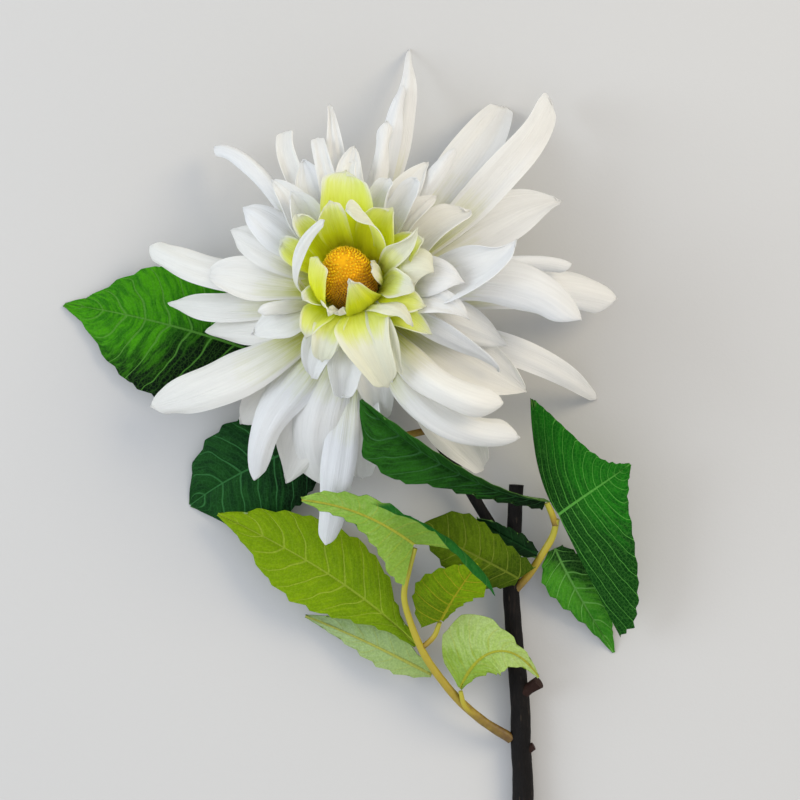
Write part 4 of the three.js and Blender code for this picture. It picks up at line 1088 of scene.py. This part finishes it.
YOUNG = ((0.15, 0.265, 0.001), (0.19, 0.31, 0.002), (0.1, 0.19, 0.001), (0.27, 0.36, 0.03), 0.6, 0.0)
PALE_UNDER = ((0.31, 0.42, 0.19), (0.28, 0.39, 0.14), (0.26, 0.36, 0.09), (0.36, 0.37, 0.06), 0.6, 0.0)
END_UNDER = ((0.2, 0.38, 0.05), (0.26, 0.42, 0.09), (0.18, 0.3, 0.03), (0.37, 0.37, 0.04), 0.6, 0.0)
NEAR_UNDER = ((0.31, 0.44, 0.11), (0.35, 0.47, 0.16), (0.18, 0.3, 0.02), (0.33, 0.33, 0.025), 0.8, 0.1)
OLIVE = ((0.115, 0.21, 0.001), (0.15, 0.27, 0.002), (0.06, 0.11, 0.001), (0.3, 0.28, 0.012), 0.7, 0.0)
SIDE = ((0.055, 0.1, 0.001), (0.085, 0.15, 0.002), (0.02, 0.045, 0.001), (0.15, 0.2, 0.02), 0.7, 0.0)
BAND = ((0.01, 0.1, 0.012), (0.02, 0.13, 0.014), (0.01, 0.09, 0.012), (0.04, 0.15, 0.03), 0.2, 0.0)
LEAF_LOOKS = {
    "left_leaf": ("leaf_green", DARK, UNDER),
    "lower_leaf": ("leaf_green", DARKEST_SHADOWED, UNDER),
    "spray_leaf_long": ("leaf_young", YOUNG, PALE_UNDER),
    "spray_leaf_pale": ("leaf_young", YOUNG, PALE_UNDER),
    "spray_leaf_end": ("leaf_young", BAND, END_UNDER),
    "spray_leaf_olive": ("leaf_olive", OLIVE, PALE_UNDER),
    "spray_leaf_near": ("leaf_young", YOUNG, NEAR_UNDER),
    "side_leaf": ("leaf_olive", SIDE, UNDER),
    "right_leaf_broad": ("leaf_green", BROAD, UNDER),
    "right_leaf_hanging": ("leaf_green", HANGING, UNDER),
    "right_leaf_folded": ("leaf_green", FOLDED, UNDER),
    "right_leaf_narrow": ("leaf_green", SHADED, UNDER),
}
for index, (name, row) in enumerate(LEAVES.items()):
    slot, upper_side, lower_side = LEAF_LOOKS[name]
    foliage = Shape()
    leaf(foliage, 500 + index, row)
    cloth = "leaf cloth " + str(index + 1)
    look = leaf_material(cloth, upper_side, lower_side, row["teeth"], row.get("fold"))
    foliage.make("cloth_" + name, name, look)


CAMERA_HEIGHT = 0.9
VIEW_HEIGHT = 0.03  # at this height over the table the view is as wide as VIEW_WIDTH
VIEW_WIDTH = 0.8 / 3
TABLE_REACH = 3


def floor():
    mesh = bpy.data.meshes.new("floor")
    corners = [(-1, -1), (1, -1), (1, 1), (-1, 1)]
    mesh.from_pydata([(x * TABLE_REACH, y * TABLE_REACH, 0) for x, y in corners], [], [(0, 1, 2, 3)])
    paint = Paint("pale table")
    mist = paint.noise(paint.place(), 3.0, 2.0)
    colour = paint.ramp(mist, [(0.3, (0.495, 0.49, 0.48)), (0.7, (0.505, 0.5, 0.49))])
    normal = paint.bump(paint.noise(paint.place(), 900.0, 2.0), 0.0001, 0.3)
    mesh.materials.append(paint.finish(colour, normal, Roughness=0.7, Specular_IOR_Level=0.2))
    table = bpy.data.objects.new("floor", mesh)
    bpy.context.scene.collection.objects.link(table)


def area_light(name, at, size, power, colour):
    lamp = bpy.data.lights.new(name, "AREA")
    lamp.shape = "DISK"
    lamp.size = size
    lamp.energy = power
    lamp.color = colour
    holder = bpy.data.objects.new(name, lamp)
    holder.location = at
    holder.rotation_euler = Vector(at).to_track_quat("Z", "Y").to_euler()
    bpy.context.scene.collection.objects.link(holder)


def room_light(colour, strength):
    world = bpy.data.worlds.new("room")
    world.use_nodes = True
    background = world.node_tree.nodes["Background"]
    background.inputs[0].default_value = (*colour, 1)
    background.inputs[1].default_value = strength
    bpy.context.scene.world = world


def camera_above():
    camera = bpy.data.cameras.new("camera")
    camera.sensor_width = 36
    camera.lens = camera.sensor_width * (CAMERA_HEIGHT - VIEW_HEIGHT) / VIEW_WIDTH
    holder = bpy.data.objects.new("camera", camera)
    holder.location = (PLAN_SHIFT[0] * 0.001, PLAN_SHIFT[1] * 0.001, CAMERA_HEIGHT)
    bpy.context.scene.collection.objects.link(holder)
    bpy.context.scene.camera = holder


floor()
area_light("lamp", (1.25, 0.8, 1.15), 1.0, 17.4, (1.0, 0.86, 0.61))
area_light("window", (-1.6, 0.3, 0.95), 1.3, 21.0, (0.82, 0.91, 1.0))
room_light((0.94, 0.97, 1.04), 0.88)
camera_above()
bpy.context.scene.view_settings.view_transform = "Standard"
